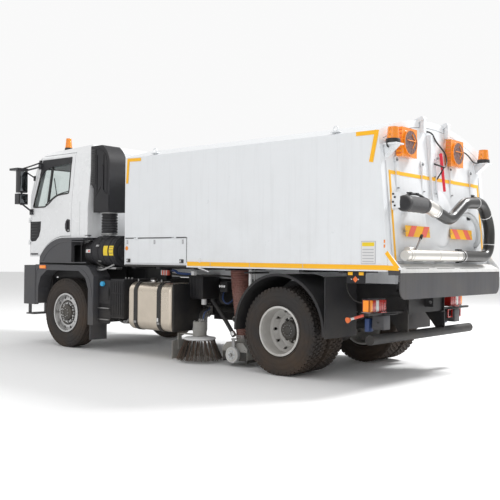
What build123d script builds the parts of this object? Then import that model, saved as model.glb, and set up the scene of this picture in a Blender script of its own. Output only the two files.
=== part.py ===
# Street sweeper truck: a two-axle cab-over chassis with a tipping hopper, side brooms and suction nozzles.
# Millimetres. X points forward, Y to the left, Z up. The ground is at Z 0 and the origin is under the
# middle of the vehicle's length and width.

import os
from math import hypot

from build123d import *

os.makedirs("parts", exist_ok=True)

# Sides of the vehicle: sign of Y and the word used in a piece's name.
sides = ((1, "left"), (-1, "right"))

# Main lengths
wheelbase = 4160
front_overhang = 1150
half_width = 1250
hose_stand_off = 1600
sleeve_r = 82
rear_axle_x = (hose_stand_off + sleeve_r - wheelbase - front_overhang) / 2
front_axle_x = rear_axle_x + wheelbase
bumper_front_x = front_axle_x + front_overhang

# Wheels: tyre 295/80 R22.5
tyre_r = 522
tyre_w = 292
rim_r = 300
barrel_r = 282
front_wheel_y = 1044
twin_outer_y = 1071
twin_inner_y = 737
hub_z = tyre_r
fit_gap = 0.3
run_gap = 2.0

# Chassis frame
rail_outer_y = 440
rail_flange = 75
rail_top_z = 1010
rail_h = 260
rail_wall = 9
rail_front_x = front_axle_x + 900
rail_rear_x = rear_axle_x - 1290
subframe_h = 75
subframe_top_z = rail_top_z + subframe_h

# Steering
kingpin_y = 880
kingpin_r = 24
steer_boss_r = 48
steer_boss_h = 130
spindle_r = 40

# Cab
cab_half_w = 1215
cab_wall = 55
cab_floor_z = 1660
cab_skirt_z = 1370
cab_back_x = front_axle_x - 560
cab_front_x = front_axle_x + 1030
cab_top_z = 3065
cab_hinge_x = front_axle_x + 960
cab_hinge_z = 1285
panel_gap = 6
door_front_x = front_axle_x + 900
door_rear_x = front_axle_x - 160
door_foot_z = 1400
door_top_z = 2955
door_gap = 8
door_sill_y = 1155
door_sill_z = 1730
glass_t = 8

# Hopper
hopper_front_x = rear_axle_x + 2720
hopper_bottom_z = 1270
hopper_shoulder_z = 2760
hopper_peak_z = 3000
hopper_wall = 40
hopper_floor = 60
rear_top_x = rear_axle_x - 1346
rear_slope = 0.0874
rear_ref_z = 2950
hopper_hinge_x = rear_axle_x - 1250
hopper_hinge_z = 1150
locker_front_x = hopper_front_x - 25
locker_back_x = rear_axle_x + 1505
locker_depth = 450
locker_low_z = 1295
locker_high_z = 1630
locker_door_t = 25
tailgate_t = 60
tailgate_half_w = 1165
tailgate_foot_z = 1345
tailgate_edge = 85
gate_hinge_x = rear_axle_x - 1380
gate_hinge_y = 300
gate_hinge_z = 3005
gate_arm_w = 60
gate_pin_r = 13

# Small hinges of the locker doors and cab doors
locker_hinge_y = half_width + 8
locker_hinge_z = locker_high_z + 3
locker_hinge_xs = (locker_back_x + 220, locker_front_x - 220)
door_hinge_x = door_front_x + 5
door_hinge_y = 1222
door_hinge_zs = (1600, 1950)

# Places that the frame's brackets share with other pieces
cross_member_xs = (rail_rear_x + 60, rear_axle_x - 560, rear_axle_x + 620, rear_axle_x + 1750,
                   rear_axle_x + 2750, front_axle_x + 720)
hinge_ear_t = 30
tow_z = 880
tow_bore_r = 20
hinge_pin_r = 22
cab_hinge_y = 390
cab_pin_r = 16
broom_pivot_x = rear_axle_x + 1760
broom_pivot_y = 520
broom_pivot_z = 660
broom_pin_r = 20
nozzle_pivot_x = rear_axle_x + 1250
nozzle_pivot_y = 545
nozzle_pivot_z = 560
nozzle_pin_r = 20
cylinder_base_x = rear_axle_x + 450
cylinder_base_z = 800
cylinder_eye_x = rear_axle_x - 300
cylinder_eye_z = 1170
cylinder_r = 62
cylinder_rod_r = 40
cylinder_pin_r = 22
engine_front_x = front_axle_x + 480
engine_back_x = front_axle_x - 640

# Axles and springs
spring_y = 400
front_spring_z = 560
rear_spring_z = 610
axle_tube_r = 58
shaft_front_z = 700
leaf_t = 16
hanger_h = 55

# Rims
hand_holes = 10
stud_count = 10
stud_circle_r = 143

# Front mudguards, bumper and arch trims
guard_inner_y = 935
guard_outer_y = 1245
guard_top_z = 1250
guard_foot_z = 640
bumper_low_z = 620
bumper_top_z = 1235
bumper_back_x = front_axle_x + 700 + fit_gap
bumper_wall = 70
trim_inner_y = 1000
trim_cut_x = front_axle_x - 216
trim_cut_z = 1628

# Cab roof lamp, snorkel and air filter
cab_beacon_x = front_axle_x + 209
snorkel_y = 1020
cleaner_x = cab_back_x - 330
cleaner_y = 985
cleaner_z = 1460
snout_length = 180

# Fuel tank
tank_front_x = rear_axle_x + 2740
tank_back_x = rear_axle_x + 1870
tank_low_z = 370
tank_high_z = 1030
tank_inner_y = 540
tank_outer_y = 1170

# Rear fenders and lamp bearer
fender_r = 640
fender_inner_y = 590
fender_outer_y = 1235
lamp_bearer_z = 780

# Tailgate and apron
gate_ribs = (
    # Y, low Z, high Z
    (930, 2120, 2440),
    (350, 2120, 2440),
    (-350, 2120, 2460),
    (-900, 2120, 2440),
)
bulge_z = 1760
bulge_sphere_r = 1200
bulge_depth = 45
apron_low_z = 960
gusset_t = 12
gusset_top_z = 1470

# Hoses at the tailgate
hose_r = 68
spigot_r = 55
spigot_len = 70

# Brooms
broom_x = rear_axle_x + 1530
broom_y = 950
broom_r = 320
broom_disc_r = 200
broom_low_z = 25
disc_top_z = 330
motor_top_z = 530
bristle_rows = 20
bristle_r = 20
bristle_foot_r = 42

# Suction nozzles
nozzle_x = rear_axle_x + 900
nozzle_len = 420
nozzle_in_y = 480
nozzle_out_y = 960
nozzle_low_z = 90
nozzle_top_z = 300
nozzle_spout_y = 800
nozzle_wheel_r = 100
nozzle_wheel_z = 150


def side_plane(y):
    """An upright plane along the vehicle at this Y, drawn in X and Z, whose extrusions go towards -Y."""
    return Plane(origin=(0, y, 0), x_dir=(1, 0, 0), z_dir=(0, -1, 0))


def cross_plane(x):
    """An upright plane across the vehicle at this X, drawn in Y and Z, whose extrusions go forward."""
    return Plane(origin=(x, 0, 0), x_dir=(0, 1, 0), z_dir=(1, 0, 0))


def write(block, name):
    """Labels a finished piece and writes its file."""
    block.part.label = name
    export_step(block.part, f"parts/{name}.step")


def slab(x, y, z, x_size, y_size, z_size, mode=Mode.ADD):
    """A block given by its centre and sizes, in the part that is open."""
    with Locations((x, y, z)):
        Box(x_size, y_size, z_size, mode=mode)


def rod_y(x, y_low, y_high, z, r, mode=Mode.ADD):
    """A round bar along Y between two Y values."""
    with Locations(Location((x, (y_low + y_high) / 2, z), (90, 0, 0))):
        Cylinder(r, abs(y_high - y_low), mode=mode)


def rod_x(x_low, x_high, y, z, r, mode=Mode.ADD):
    """A round bar along X between two X values."""
    with Locations(Location(((x_low + x_high) / 2, y, z), (0, 90, 0))):
        Cylinder(r, abs(x_high - x_low), mode=mode)


def rod_z(x, y, z_low, z_high, r, mode=Mode.ADD):
    """A round upright bar between two heights."""
    with Locations((x, y, (z_low + z_high) / 2)):
        Cylinder(r, z_high - z_low, mode=mode)


def rear_face_x(z):
    """X of the sloping rear face of the hopper at a height."""
    return rear_top_x - (rear_ref_z - z) * rear_slope


def chassis_frame():
    """Two channel rails with cross members, the body's subframe, and brackets for other pieces."""
    rail_mid_x = (rail_front_x + rail_rear_x) / 2
    rail_len = rail_front_x - rail_rear_x
    rail_mid_z = rail_top_z - rail_h / 2
    with BuildPart() as frame:
        for side, hand in sides:
            y = side * (rail_outer_y - rail_flange / 2)
            slab(rail_mid_x, y, rail_mid_z, rail_len, rail_flange, rail_h)
            inner_y = side * (rail_outer_y - rail_wall - rail_flange / 2)
            slab(rail_mid_x, inner_y, rail_mid_z, rail_len, rail_flange, rail_h - 2 * rail_wall,
                 Mode.SUBTRACT)
        for x in cross_member_xs:
            slab(x, 0, rail_mid_z, 70, 2 * (rail_outer_y - rail_wall), rail_h - 2 * rail_wall)
            slab(x + 35, 0, rail_mid_z, 70 - rail_wall, 2 * rail_outer_y, rail_h - 4 * rail_wall,
                 Mode.SUBTRACT)
        for side, hand in sides:
            y = side * (rail_outer_y - rail_flange / 2)
            sub_front_x = hopper_front_x - 100
            sub_rear_x = hopper_hinge_x + 130
            slab((sub_front_x + sub_rear_x) / 2, y, rail_top_z + subframe_h / 2,
                 sub_front_x - sub_rear_x, rail_flange, subframe_h)
            # Ears of the hopper's rear hinge
            with BuildSketch(side_plane(side * (rail_outer_y - rail_flange / 2) + hinge_ear_t / 2)):
                with BuildLine():
                    Polyline((hopper_hinge_x - 45, rail_top_z - 60), (hopper_hinge_x - 45, hopper_hinge_z),
                             (hopper_hinge_x + 45, hopper_hinge_z), (hopper_hinge_x + 90,
                                                                     rail_top_z - 60), close=True)
                make_face()
                with Locations((hopper_hinge_x, hopper_hinge_z)):
                    Circle(45)
                    Circle(hinge_pin_r + fit_gap, mode=Mode.SUBTRACT)
            extrude(amount=hinge_ear_t)
            # Brackets of the cab's front hinge
            with BuildSketch(side_plane(side * cab_hinge_y + hinge_ear_t / 2)):
                with BuildLine():
                    Polyline((rail_front_x - 150, rail_top_z - 120), (cab_hinge_x - 32, cab_hinge_z),
                             (cab_hinge_x + 32, cab_hinge_z), (rail_front_x, rail_top_z - 120), close=True)
                make_face()
                with Locations((cab_hinge_x, cab_hinge_z)):
                    Circle(32)
                    Circle(cab_pin_r + fit_gap, mode=Mode.SUBTRACT)
            extrude(amount=hinge_ear_t)
            # Broom bracket with its upright pin
            slab(broom_pivot_x, side * (rail_outer_y + broom_pivot_y) / 2, broom_pivot_z + 65,
                 90, broom_pivot_y - rail_outer_y + 60, 18)
            slab(broom_pivot_x, side * (rail_outer_y + 8), (rail_top_z - 140 + broom_pivot_z - 74) / 2,
                 110, 20,
                 rail_top_z - 140 - broom_pivot_z + 74)
            slab(broom_pivot_x, side * (rail_outer_y + broom_pivot_y) / 2, broom_pivot_z - 65,
                 90, broom_pivot_y - rail_outer_y + 60, 18)
            rod_z(broom_pivot_x, side * broom_pivot_y, broom_pivot_z - 100, broom_pivot_z + 100,
                  broom_pin_r + fit_gap, Mode.SUBTRACT)
            # Nozzle bracket with its cross pin
            slab(nozzle_pivot_x, side * (rail_outer_y + 6), (rail_top_z - rail_h + nozzle_pivot_z) / 2 + 20,
                 110, 14, rail_top_z - rail_h - nozzle_pivot_z + 150)
            rod_y(nozzle_pivot_x, side * rail_outer_y, side * (nozzle_pivot_y + 40), nozzle_pivot_z,
                  nozzle_pin_r)
        # Bearer of the tipping cylinder
        slab(cylinder_base_x + 60, 0, cylinder_base_z - 5, 20, 2 * (rail_outer_y - rail_wall), 130)
        for side, hand in sides:
            with BuildSketch(side_plane(side * (cylinder_r + 18) + 7)):
                with BuildLine():
                    Polyline((cylinder_base_x + 60, cylinder_base_z - 60), (cylinder_base_x + 60,
                                                                            cylinder_base_z + 55),
                             (cylinder_base_x - 35, cylinder_base_z + 35), (cylinder_base_x - 35,
                                                                            cylinder_base_z - 35),
                             close=True)
                make_face()
                with Locations((cylinder_base_x, cylinder_base_z)):
                    Circle(cylinder_pin_r + fit_gap, mode=Mode.SUBTRACT)
            extrude(amount=14)
        # Towing eye on the rear cross member
        slab(rail_rear_x - 25, 0, tow_z, 120, 30, 110)
        rod_y(rail_rear_x - 50, -40, 40, tow_z, tow_bore_r, Mode.SUBTRACT)
        # Front cross tube that carries the bumper
        for side, hand in sides:
            slab((rail_front_x - 1 + bumper_front_x - bumper_wall - fit_gap) / 2,
                 side * (rail_outer_y - rail_flange / 2),
                 rail_mid_z - 20, bumper_front_x - bumper_wall - fit_gap - rail_front_x + 1, 60, 150)
    write(frame, "chassis_frame")


def engine_block():
    """The engine and gearbox as one plain mass between the rails."""
    with BuildPart() as engine:
        mid_x = (engine_front_x + engine_back_x) / 2
        slab(mid_x, 0, 1010, engine_front_x - engine_back_x, 640, 720)
        for side, hand in sides:
            slab(mid_x, side * (rail_outer_y - rail_wall - fit_gap + 300) / 2, 880, 160,
                 rail_outer_y - rail_wall - fit_gap - 300, 60)
    write(engine, "engine_block")


def front_axle():
    """Dropped I-beam with a kingpin eye at each end, on two spring seats."""
    with BuildPart() as axle:
        slab(front_axle_x, 0, 400, 90, 1100, 90)
        for side, hand in sides:
            with BuildSketch(Plane(origin=(front_axle_x, 0, 0), x_dir=(0, 1, 0), z_dir=(1, 0, 0))):
                with BuildLine():
                    Polyline((side * 500, 355), (side * 560, 355), (side * (kingpin_y - 20), hub_z - 50),
                             (side * kingpin_y, hub_z - 50), (side * kingpin_y, hub_z + 40),
                             (side * (kingpin_y - 40), hub_z + 40), (side * 530, 445), (side * 500,
                                                                                        445), close=True)
                make_face()
            extrude(amount=40, both=True)
            rod_z(front_axle_x, side * kingpin_y, hub_z - steer_boss_h / 2, hub_z + steer_boss_h / 2,
                  steer_boss_r)
            rod_z(front_axle_x, side * kingpin_y, hub_z - steer_boss_h, hub_z + steer_boss_h,
                  kingpin_r + fit_gap,
                  Mode.SUBTRACT)
            slab(front_axle_x, side * spring_y, (445 + front_spring_z) / 2, 150, 90, front_spring_z - 445)
    write(axle, "front_axle")


def rear_axle():
    """Banjo housing with its differential, the axle tubes that carry the hubs, and the propeller shaft."""
    with BuildPart() as axle:
        with BuildSketch(cross_plane(rear_axle_x)):
            with BuildLine():
                Polyline((0, hub_z), (0, hub_z + 215), (130, hub_z + 205), (250, hub_z + 95),
                         (430, hub_z + 72),
                         (twin_inner_y - 130, hub_z + 72), (twin_inner_y - 130, hub_z + axle_tube_r),
                         (twin_outer_y - 60, hub_z + axle_tube_r), (twin_outer_y - 60, hub_z), close=True)
            make_face()
        revolve(axis=Axis((rear_axle_x, 0, hub_z), (0, 1, 0)))
        mirror(about=Plane.XZ)
        with BuildSketch(side_plane(0)) as nose:
            with BuildLine():
                Polyline((rear_axle_x, hub_z - 120), (rear_axle_x + 330, hub_z + 20), (rear_axle_x + 330,
                                                                                       hub_z + 120),
                         (rear_axle_x, hub_z + 150), close=True)
            make_face()
        extrude(amount=75, both=True)
        with BuildSketch(Plane(origin=(rear_axle_x + 300, 0, hub_z + 70), x_dir=(0, 1, 0),
                               z_dir=(engine_back_x - 12 - rear_axle_x - 300, 0,
                                      shaft_front_z - hub_z - 70))):
            Circle(48)
        extrude(amount=hypot(engine_back_x - 12 - rear_axle_x - 300, shaft_front_z - hub_z - 70))
        for side, hand in sides:
            slab(rear_axle_x, side * spring_y, hub_z + 65, 160, 90, 2 * (rear_spring_z - hub_z - 65))
    write(axle, "rear_axle")


def leaf_springs():
    """Semi-elliptic packs of leaves at both axles, with their eyes on hangers under the rails."""
    rows = (
        # axle x, seat z, half length, leaves
        (front_axle_x, front_spring_z, 560, 3),
        (rear_axle_x, rear_spring_z, 620, 4),
    )
    with BuildPart() as springs:
        for axle_x, seat_z, half_len, leaves in rows:
            rise = rail_top_z - rail_h - seat_z - leaves * leaf_t - hanger_h
            for side, hand in sides:
                for leaf in range(leaves):
                    reach = half_len * (1 - 0.2 * leaf)
                    lift = rise * (reach / half_len) ** 2
                    low = seat_z + fit_gap + (leaves - 1 - leaf) * leaf_t
                    with BuildSketch(side_plane(side * spring_y)):
                        with BuildLine():
                            ThreePointArc((axle_x - reach, low + lift), (axle_x, low), (axle_x + reach,
                                                                                        low + lift))
                            Line((axle_x + reach, low + lift), (axle_x + reach, low + lift + leaf_t))
                            ThreePointArc((axle_x + reach, low + lift + leaf_t), (axle_x, low + leaf_t),
                                          (axle_x - reach, low + lift + leaf_t))
                            Line((axle_x - reach, low + lift + leaf_t), (axle_x - reach, low + lift))
                        make_face()
                    extrude(amount=38, both=True)
                top = seat_z + fit_gap + (leaves - 1) * leaf_t + rise
                for end in (-1, 1):
                    x = axle_x + end * half_len
                    rod_y(x, side * spring_y - 38, side * spring_y + 38, top + 8, 26)
                    slab(x, side * spring_y, (top + rail_top_z - rail_h) / 2 + 8, 34, 70,
                         rail_top_z - rail_h - top - 16 - fit_gap)
    write(springs, "leaf_springs")


def wheel_section(points, axle_x, y_mid, side):
    """Turns a closed outline of (outward offset, radius) points about a wheel's axis."""
    with BuildPart() as ring:
        with BuildSketch(cross_plane(axle_x)):
            with BuildLine():
                Polyline(*[(side * (y_mid + y), hub_z + r) for y, r in points], close=True)
            make_face()
        revolve(axis=Axis((axle_x, 0, hub_z), (0, 1, 0)))
    return ring.part


def tyre(axle_x, y_mid, side):
    """One tyre: round shoulders, bulging walls and a bead seat."""
    half = tyre_w / 2
    crown = half - 28
    with BuildPart() as ring:
        with BuildSketch(cross_plane(axle_x)):
            with BuildLine():
                for end in (-1, 1):
                    y = side * y_mid
                    ThreePointArc((y + end * crown, hub_z + tyre_r), (y + end * (half - 8),
                                                                      hub_z + tyre_r - 9),
                                  (y + end * (half - 3), hub_z + tyre_r - 42))
                    ThreePointArc((y + end * (half - 3), hub_z + tyre_r - 42), (y + end * half,
                                                                                hub_z + tyre_r - 110),
                                  (y + end * (half - 22), hub_z + rim_r + 20))
                    Line((y + end * (half - 22), hub_z + rim_r + 20), (y + end * (half - 30),
                                                                       hub_z + rim_r - 12))
                Line((y - crown, hub_z + tyre_r), (y + crown, hub_z + tyre_r))
                Line((y - half + 30, hub_z + rim_r - 12), (y + half - 30, hub_z + rim_r - 12))
            make_face()
        revolve(axis=Axis((axle_x, 0, hub_z), (0, 1, 0)))
    return ring.part


def rim_barrel(axle_x, y_mid, side):
    """The barrel that a tyre seats on, with its two flanges."""
    seat = rim_r - 12 - fit_gap
    half = tyre_w / 2 - 30
    flange = half + 16
    outline = (
        (-flange, seat + 8), (-half - 4, seat + 8), (-half - fit_gap, seat), (half + fit_gap, seat),
        (half + 4, seat + 8), (flange, seat + 8), (flange, barrel_r - 10), (half - 20, barrel_r - 14),
        (-half + 20, barrel_r - 14), (-flange, barrel_r - 10),
    )
    return wheel_section(outline, axle_x, y_mid, side)


def front_wheel(side, hand):
    """A single front wheel: tyre, and a dished rim with hand holes and a hub."""
    with BuildPart() as rubber:
        add(tyre(front_axle_x, front_wheel_y, side))
    write(rubber, f"tyre_front_{hand}")
    with BuildPart() as rim:
        add(rim_barrel(front_axle_x, front_wheel_y, side))
        add(wheel_section(((20, barrel_r - 8), (64, barrel_r - 8), (88, 225), (92, 190), (70, 166),
                           (66, 120), (112, 112),
                       (124, 70), (124, 0), (104, 0), (104, spindle_r + fit_gap), (-70,
                                                                                   spindle_r + fit_gap),
                       (-70, 78), (48, 84), (54, 166), (78, 196), (74, 222), (48, 256), (20, 262)),
                      front_axle_x, front_wheel_y, side))
        with BuildSketch(side_plane(side * (front_wheel_y + 40))):
            with Locations((front_axle_x, hub_z)):
                with PolarLocations(232, hand_holes):
                    Circle(21)
        extrude(amount=-side * 90, mode=Mode.SUBTRACT)
        with BuildSketch(side_plane(side * (front_wheel_y + 60))):
            with Locations((front_axle_x, hub_z)):
                with PolarLocations(stud_circle_r, stud_count):
                    Circle(14)
        extrude(amount=-side * 28)
    write(rim, f"rim_front_{hand}")


def rear_wheels(side, hand):
    """Twin rear wheels: two tyres, and two rims bolted back to back on one hub."""
    plate_y = (twin_outer_y + twin_inner_y) / 2
    out = twin_outer_y - plate_y
    with BuildPart() as rubber:
        for y in (twin_outer_y, twin_inner_y):
            add(tyre(rear_axle_x, y, side))
    write(rubber, f"tyres_rear_{hand}")
    with BuildPart() as rim:
        add(rim_barrel(rear_axle_x, twin_outer_y, side))
        add(rim_barrel(rear_axle_x, twin_inner_y, side))
        add(wheel_section(((out - 106, barrel_r - 8), (out - 40, barrel_r - 8), (out - 70, 248), (24, 205),
                           (12, 180),
                       (12, 118), (112, 106), (128, 74), (128, 0), (112, 0), (112, axle_tube_r + fit_gap),
                       (-100, axle_tube_r + fit_gap), (-100, 96), (-12, 108), (-12, 180), (-24, 205),
                       (70 - out, 248), (40 - out, barrel_r - 8), (106 - out, barrel_r - 8), (106 - out,
                                                                                              262),
                       (-6, 212), (6, 212), (out - 106, 262)),
                      rear_axle_x, plate_y, side))
        with BuildSketch(side_plane(side * (plate_y - 90))):
            with Locations((rear_axle_x, hub_z)):
                with PolarLocations(236, hand_holes):
                    Circle(20)
        extrude(amount=-side * 180, mode=Mode.SUBTRACT)
        with BuildSketch(side_plane(side * (plate_y + 10))):
            with Locations((rear_axle_x, hub_z)):
                with PolarLocations(stud_circle_r, stud_count):
                    Circle(14)
        extrude(amount=-side * 36)
    write(rim, f"rims_rear_{hand}")


def knuckle(side, hand):
    """Steering knuckle: yoke round the beam's eye, kingpin, spindle, brake plate and steering arm."""
    ear_gap = steer_boss_h / 2 + fit_gap
    with BuildPart() as block:
        for up in (-1, 1):
            rod_z(front_axle_x, side * kingpin_y, hub_z + min(up * ear_gap, up * (ear_gap + 32)),
                  hub_z + max(up * ear_gap, up * (ear_gap + 32)), steer_boss_r)
            slab(front_axle_x, side * (kingpin_y + 38), hub_z + up * (ear_gap + 16), 90, 76, 32)
        rod_z(front_axle_x, side * kingpin_y, hub_z - ear_gap - 40, hub_z + ear_gap + 40, kingpin_r)
        slab(front_axle_x, side * (kingpin_y + 66), hub_z, 100, 20, 2 * ear_gap + 64)
        rod_y(front_axle_x, side * (kingpin_y + 60), side * (front_wheel_y + 90), hub_z, spindle_r)
        rod_y(front_axle_x, side * (kingpin_y + 62), side * (kingpin_y + 74), hub_z, 205)
        slab(front_axle_x - 110, side * (kingpin_y + 38), hub_z - ear_gap - 16, 160, 40, 28)
    write(block, f"knuckle_{hand}")


def mudguard():
    """Front wheel arches: a flat-topped arch with a stepped rear leg and a rubber flap, on both sides."""
    with BuildPart() as guard:
        for side, hand in sides:
            x = front_axle_x
            with BuildSketch(side_plane(side * (guard_inner_y + guard_outer_y) / 2)):
                with BuildLine():
                    Polyline((x + 700, guard_foot_z), (x + 700, guard_top_z), (x - 560, guard_top_z),
                             (x - 640, guard_top_z - 30), (x - 750, 1090), (x - 750, 380), (x - 690, 380),
                             (x - 690, 160), (x - 674, 160), (x - 674, 380), (x - 626, 380), (x - 626, 900),
                             (x - 560, 1060), (x - 400, 1165), (x + 400, 1165), (x + 560, 1060), (x + 626,
                                                                                                  900),
                             (x + 626, guard_foot_z), close=True)
                make_face()
            extrude(amount=(guard_outer_y - guard_inner_y) / 2, both=True)
            # Inner bracket to the rail
            slab(x - 700, side * (rail_outer_y + guard_inner_y) / 2, 960, 50,
                 guard_inner_y - rail_outer_y - 2 * fit_gap, 50)
    write(guard, "front_mudguards")


def bumper():
    """Wrap-round steel bumper with lamp pockets, a grille opening and a step below."""
    with BuildPart() as bar:
        with BuildSketch(Plane.XY.offset(bumper_low_z)):
            with BuildLine():
                Polyline((bumper_back_x, -half_width), (bumper_front_x - 150, -half_width),
                         (bumper_front_x - 30, -half_width + 130), (bumper_front_x, -half_width + 420),
                         (bumper_front_x, half_width - 420), (bumper_front_x - 30, half_width - 130),
                         (bumper_front_x - 150, half_width), (bumper_back_x, half_width), close=True)
            make_face()
        extrude(amount=bumper_top_z - bumper_low_z)
        slab(bumper_back_x - 50 + (bumper_front_x - bumper_back_x) / 2 - bumper_wall / 2, 0,
             (bumper_low_z + bumper_top_z) / 2, bumper_front_x - bumper_back_x - bumper_wall + 100,
             2 * (half_width - bumper_wall), bumper_top_z - bumper_low_z + 20, Mode.SUBTRACT)
        # Grille slots and number plate land
        for z in (1125, 1040, 800, 715):
            slab(bumper_front_x, 0, z, 200, 1300, 45, Mode.SUBTRACT)
        for side, hand in sides:
            slab(bumper_front_x - 60, side * 960, 905, 260, 340, 220, Mode.SUBTRACT)
            # Lower step on two hangers
            slab(bumper_front_x - 130, side * 930, bumper_low_z - 165, 200, 380, 22)
            for y in (780, 1080):
                slab(bumper_front_x - 75, side * y, bumper_low_z - 80, 60, 22, 165)
    write(bar, "bumper")


def headlamps():
    """Headlamp units that fill the bumper's pockets."""
    with BuildPart() as lamps:
        for side, hand in sides:
            slab(bumper_front_x - 75, side * 960, 905, 60, 340 - 2 * fit_gap, 220 - 2 * fit_gap)
    write(lamps, "headlamps")


def cab_outline(inset):
    """The cab's outer form, or the same form this far inside it, as a solid."""
    side_lines = (
        (cab_front_x - 10, cab_skirt_z), (cab_front_x, 1890), (front_axle_x + 800,
                                                               2850), (front_axle_x + 640, 3010),
        (cab_back_x + 90, cab_top_z), (cab_back_x, 2980), (cab_back_x, cab_floor_z), (front_axle_x - 10,
                                                                                      cab_floor_z),
    )
    with BuildPart() as form:
        with BuildSketch(side_plane(0)):
            with BuildLine():
                Polyline(*side_lines)
                ThreePointArc((front_axle_x - 10, cab_floor_z), (front_axle_x + 323, 1583.7),
                              (front_axle_x + 590, cab_skirt_z))
                Line((front_axle_x + 590, cab_skirt_z), (cab_front_x - 10, cab_skirt_z))
            make_face()
            if inset:
                offset(amount=-inset, kind=Kind.INTERSECTION, mode=Mode.REPLACE)
        extrude(amount=cab_half_w + 50, both=True)
        with BuildSketch(cross_plane(0)):
            with BuildLine():
                Polyline((-cab_half_w + inset, 1000), (-cab_half_w + inset, 2120),
                         (-cab_half_w + 75 + inset, 2930), (-cab_half_w + 190 + inset,
                                                            cab_top_z + 40 - inset),
                         (cab_half_w - 190 - inset, cab_top_z + 40 - inset), (cab_half_w - 75 - inset,
                                                                              2930),
                         (cab_half_w - inset, 2120), (cab_half_w - inset, 1000), close=True)
            make_face()
        extrude(amount=8000, both=True, mode=Mode.INTERSECT)
        with BuildSketch(Plane.XY):
            with Locations(((cab_front_x - 1500 - inset) , 0)):
                RectangleRounded(3000, 2 * (cab_half_w - inset), 190)
        extrude(amount=6000, both=True, mode=Mode.INTERSECT)
    return form.part


def door_outline(grow):
    """The door's side outline this much larger all round, as a sketch."""
    with BuildSketch() as outline:
        with BuildLine():
            front_foot = (door_front_x + grow, door_foot_z - grow)
            rear_foot = (door_rear_x - grow, cab_floor_z + 30 - grow)
            arch_rear = (front_axle_x + 60 - grow / 2, cab_floor_z + 30 - grow)
            arch_front = (front_axle_x + 610 - grow, door_foot_z - grow)
            ThreePointArc(arch_rear, (front_axle_x + 364 - grow / 2, 1601 - grow), arch_front)
            Polyline(arch_front, front_foot, (door_front_x + grow, 2150), (front_axle_x + 690 + grow,
                                                                           door_top_z + grow),
                     (door_rear_x - grow, door_top_z + grow), rear_foot, arch_rear)
        make_face()
    return outline.sketch_local


def window_outline(grow):
    """The side window's outline as a sketch, with the dip towards its front."""
    with BuildSketch() as outline:
        with BuildLine():
            Polyline((front_axle_x + 100, 2330 - grow), (door_rear_x + 90 - grow, 2340 - grow),
                     (door_rear_x + 90 - grow, 2880 + grow), (front_axle_x + 640 + grow, 2880 + grow),
                     (front_axle_x + 835 + grow, 2150 - grow), (front_axle_x + 520, 2150 - grow))
            ThreePointArc((front_axle_x + 520, 2150 - grow), (front_axle_x + 330, 2270 - grow),
                          (front_axle_x + 100, 2330 - grow))
        make_face()
    return outline.sketch_local


def cab_shell():
    """The hollow cab: floor, rear wall, roof, pillars and front panel, with windscreen and doorways cut."""
    outer = cab_outline(0)
    inner = cab_outline(cab_wall)
    with BuildPart() as shell:
        add(outer)
        add(inner, mode=Mode.SUBTRACT)
        with BuildSketch(cross_plane(cab_front_x + 200)):
            add(windscreen_outline(0))
        extrude(amount=-700, mode=Mode.SUBTRACT)
        for side, hand in sides:
            with BuildSketch(side_plane(side * (cab_half_w + 100))):
                add(door_outline(door_gap))
            extrude(amount=side * (cab_half_w + 100 - door_sill_y + door_gap), mode=Mode.SUBTRACT)
            with BuildSketch(side_plane(side * (cab_half_w + 100))):
                add(door_outline(door_gap))
                with Locations((front_axle_x + 400, door_sill_z - door_gap - 400)):
                    Rectangle(2000, 800, mode=Mode.SUBTRACT)
            extrude(amount=side * 260, mode=Mode.SUBTRACT)
        # Fixed knuckles of the door hinges
        for side, hand in sides:
            for z in door_hinge_zs:
                rod_z(door_hinge_x, side * door_hinge_y, z - 40, z - fit_gap / 2, 14)
                slab(door_hinge_x + 14, side * (door_hinge_y - 18), z - 20 - fit_gap / 4, 24, 44,
                     40 - fit_gap / 2)
        # Grille slots low in the front panel
        for z in (1500, 1590, 1680):
            slab(cab_front_x, 0, z, 60, 1500, 36, Mode.SUBTRACT)
        # Hinge lugs under the front
        for side, hand in sides:
            for off in (-1, 1):
                with BuildSketch(side_plane(side * cab_hinge_y + off * (hinge_ear_t + 5) + 10)):
                    with Locations((cab_hinge_x, cab_hinge_z)):
                        Circle(30)
                    with BuildLine():
                        Polyline((cab_hinge_x - 28, cab_hinge_z), (cab_hinge_x + 28, cab_hinge_z),
                                 (cab_hinge_x + 40, cab_skirt_z + 20), (cab_hinge_x - 60,
                                                                        cab_skirt_z + 20), close=True)
                    make_face()
                extrude(amount=20)
            rod_y(cab_hinge_x, side * cab_hinge_y - 45, side * cab_hinge_y + 45, cab_hinge_z, cab_pin_r)
    write(shell, "cab_shell")


def windscreen_outline(trim):
    """The windscreen's outline seen from the front, this much smaller all round."""
    with BuildSketch() as outline:
        with BuildLine():
            Polyline((-1080 + trim, 1985 + trim), (-1010 + trim, 2790 - trim), (1010 - trim, 2790 - trim),
                     (1080 - trim, 1985 + trim), close=True)
        make_face()
    return outline.sketch_local


def cab_glass():
    """The windscreen, bonded flush in its opening."""
    outer = cab_outline(14)
    inner = cab_outline(14 + glass_t)
    with BuildPart() as glass:
        add(outer)
        add(inner, mode=Mode.SUBTRACT)
        with BuildSketch(cross_plane(cab_front_x + 200)):
            add(windscreen_outline(fit_gap))
        extrude(amount=-600, mode=Mode.INTERSECT)
    write(glass, "windscreen")


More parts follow.
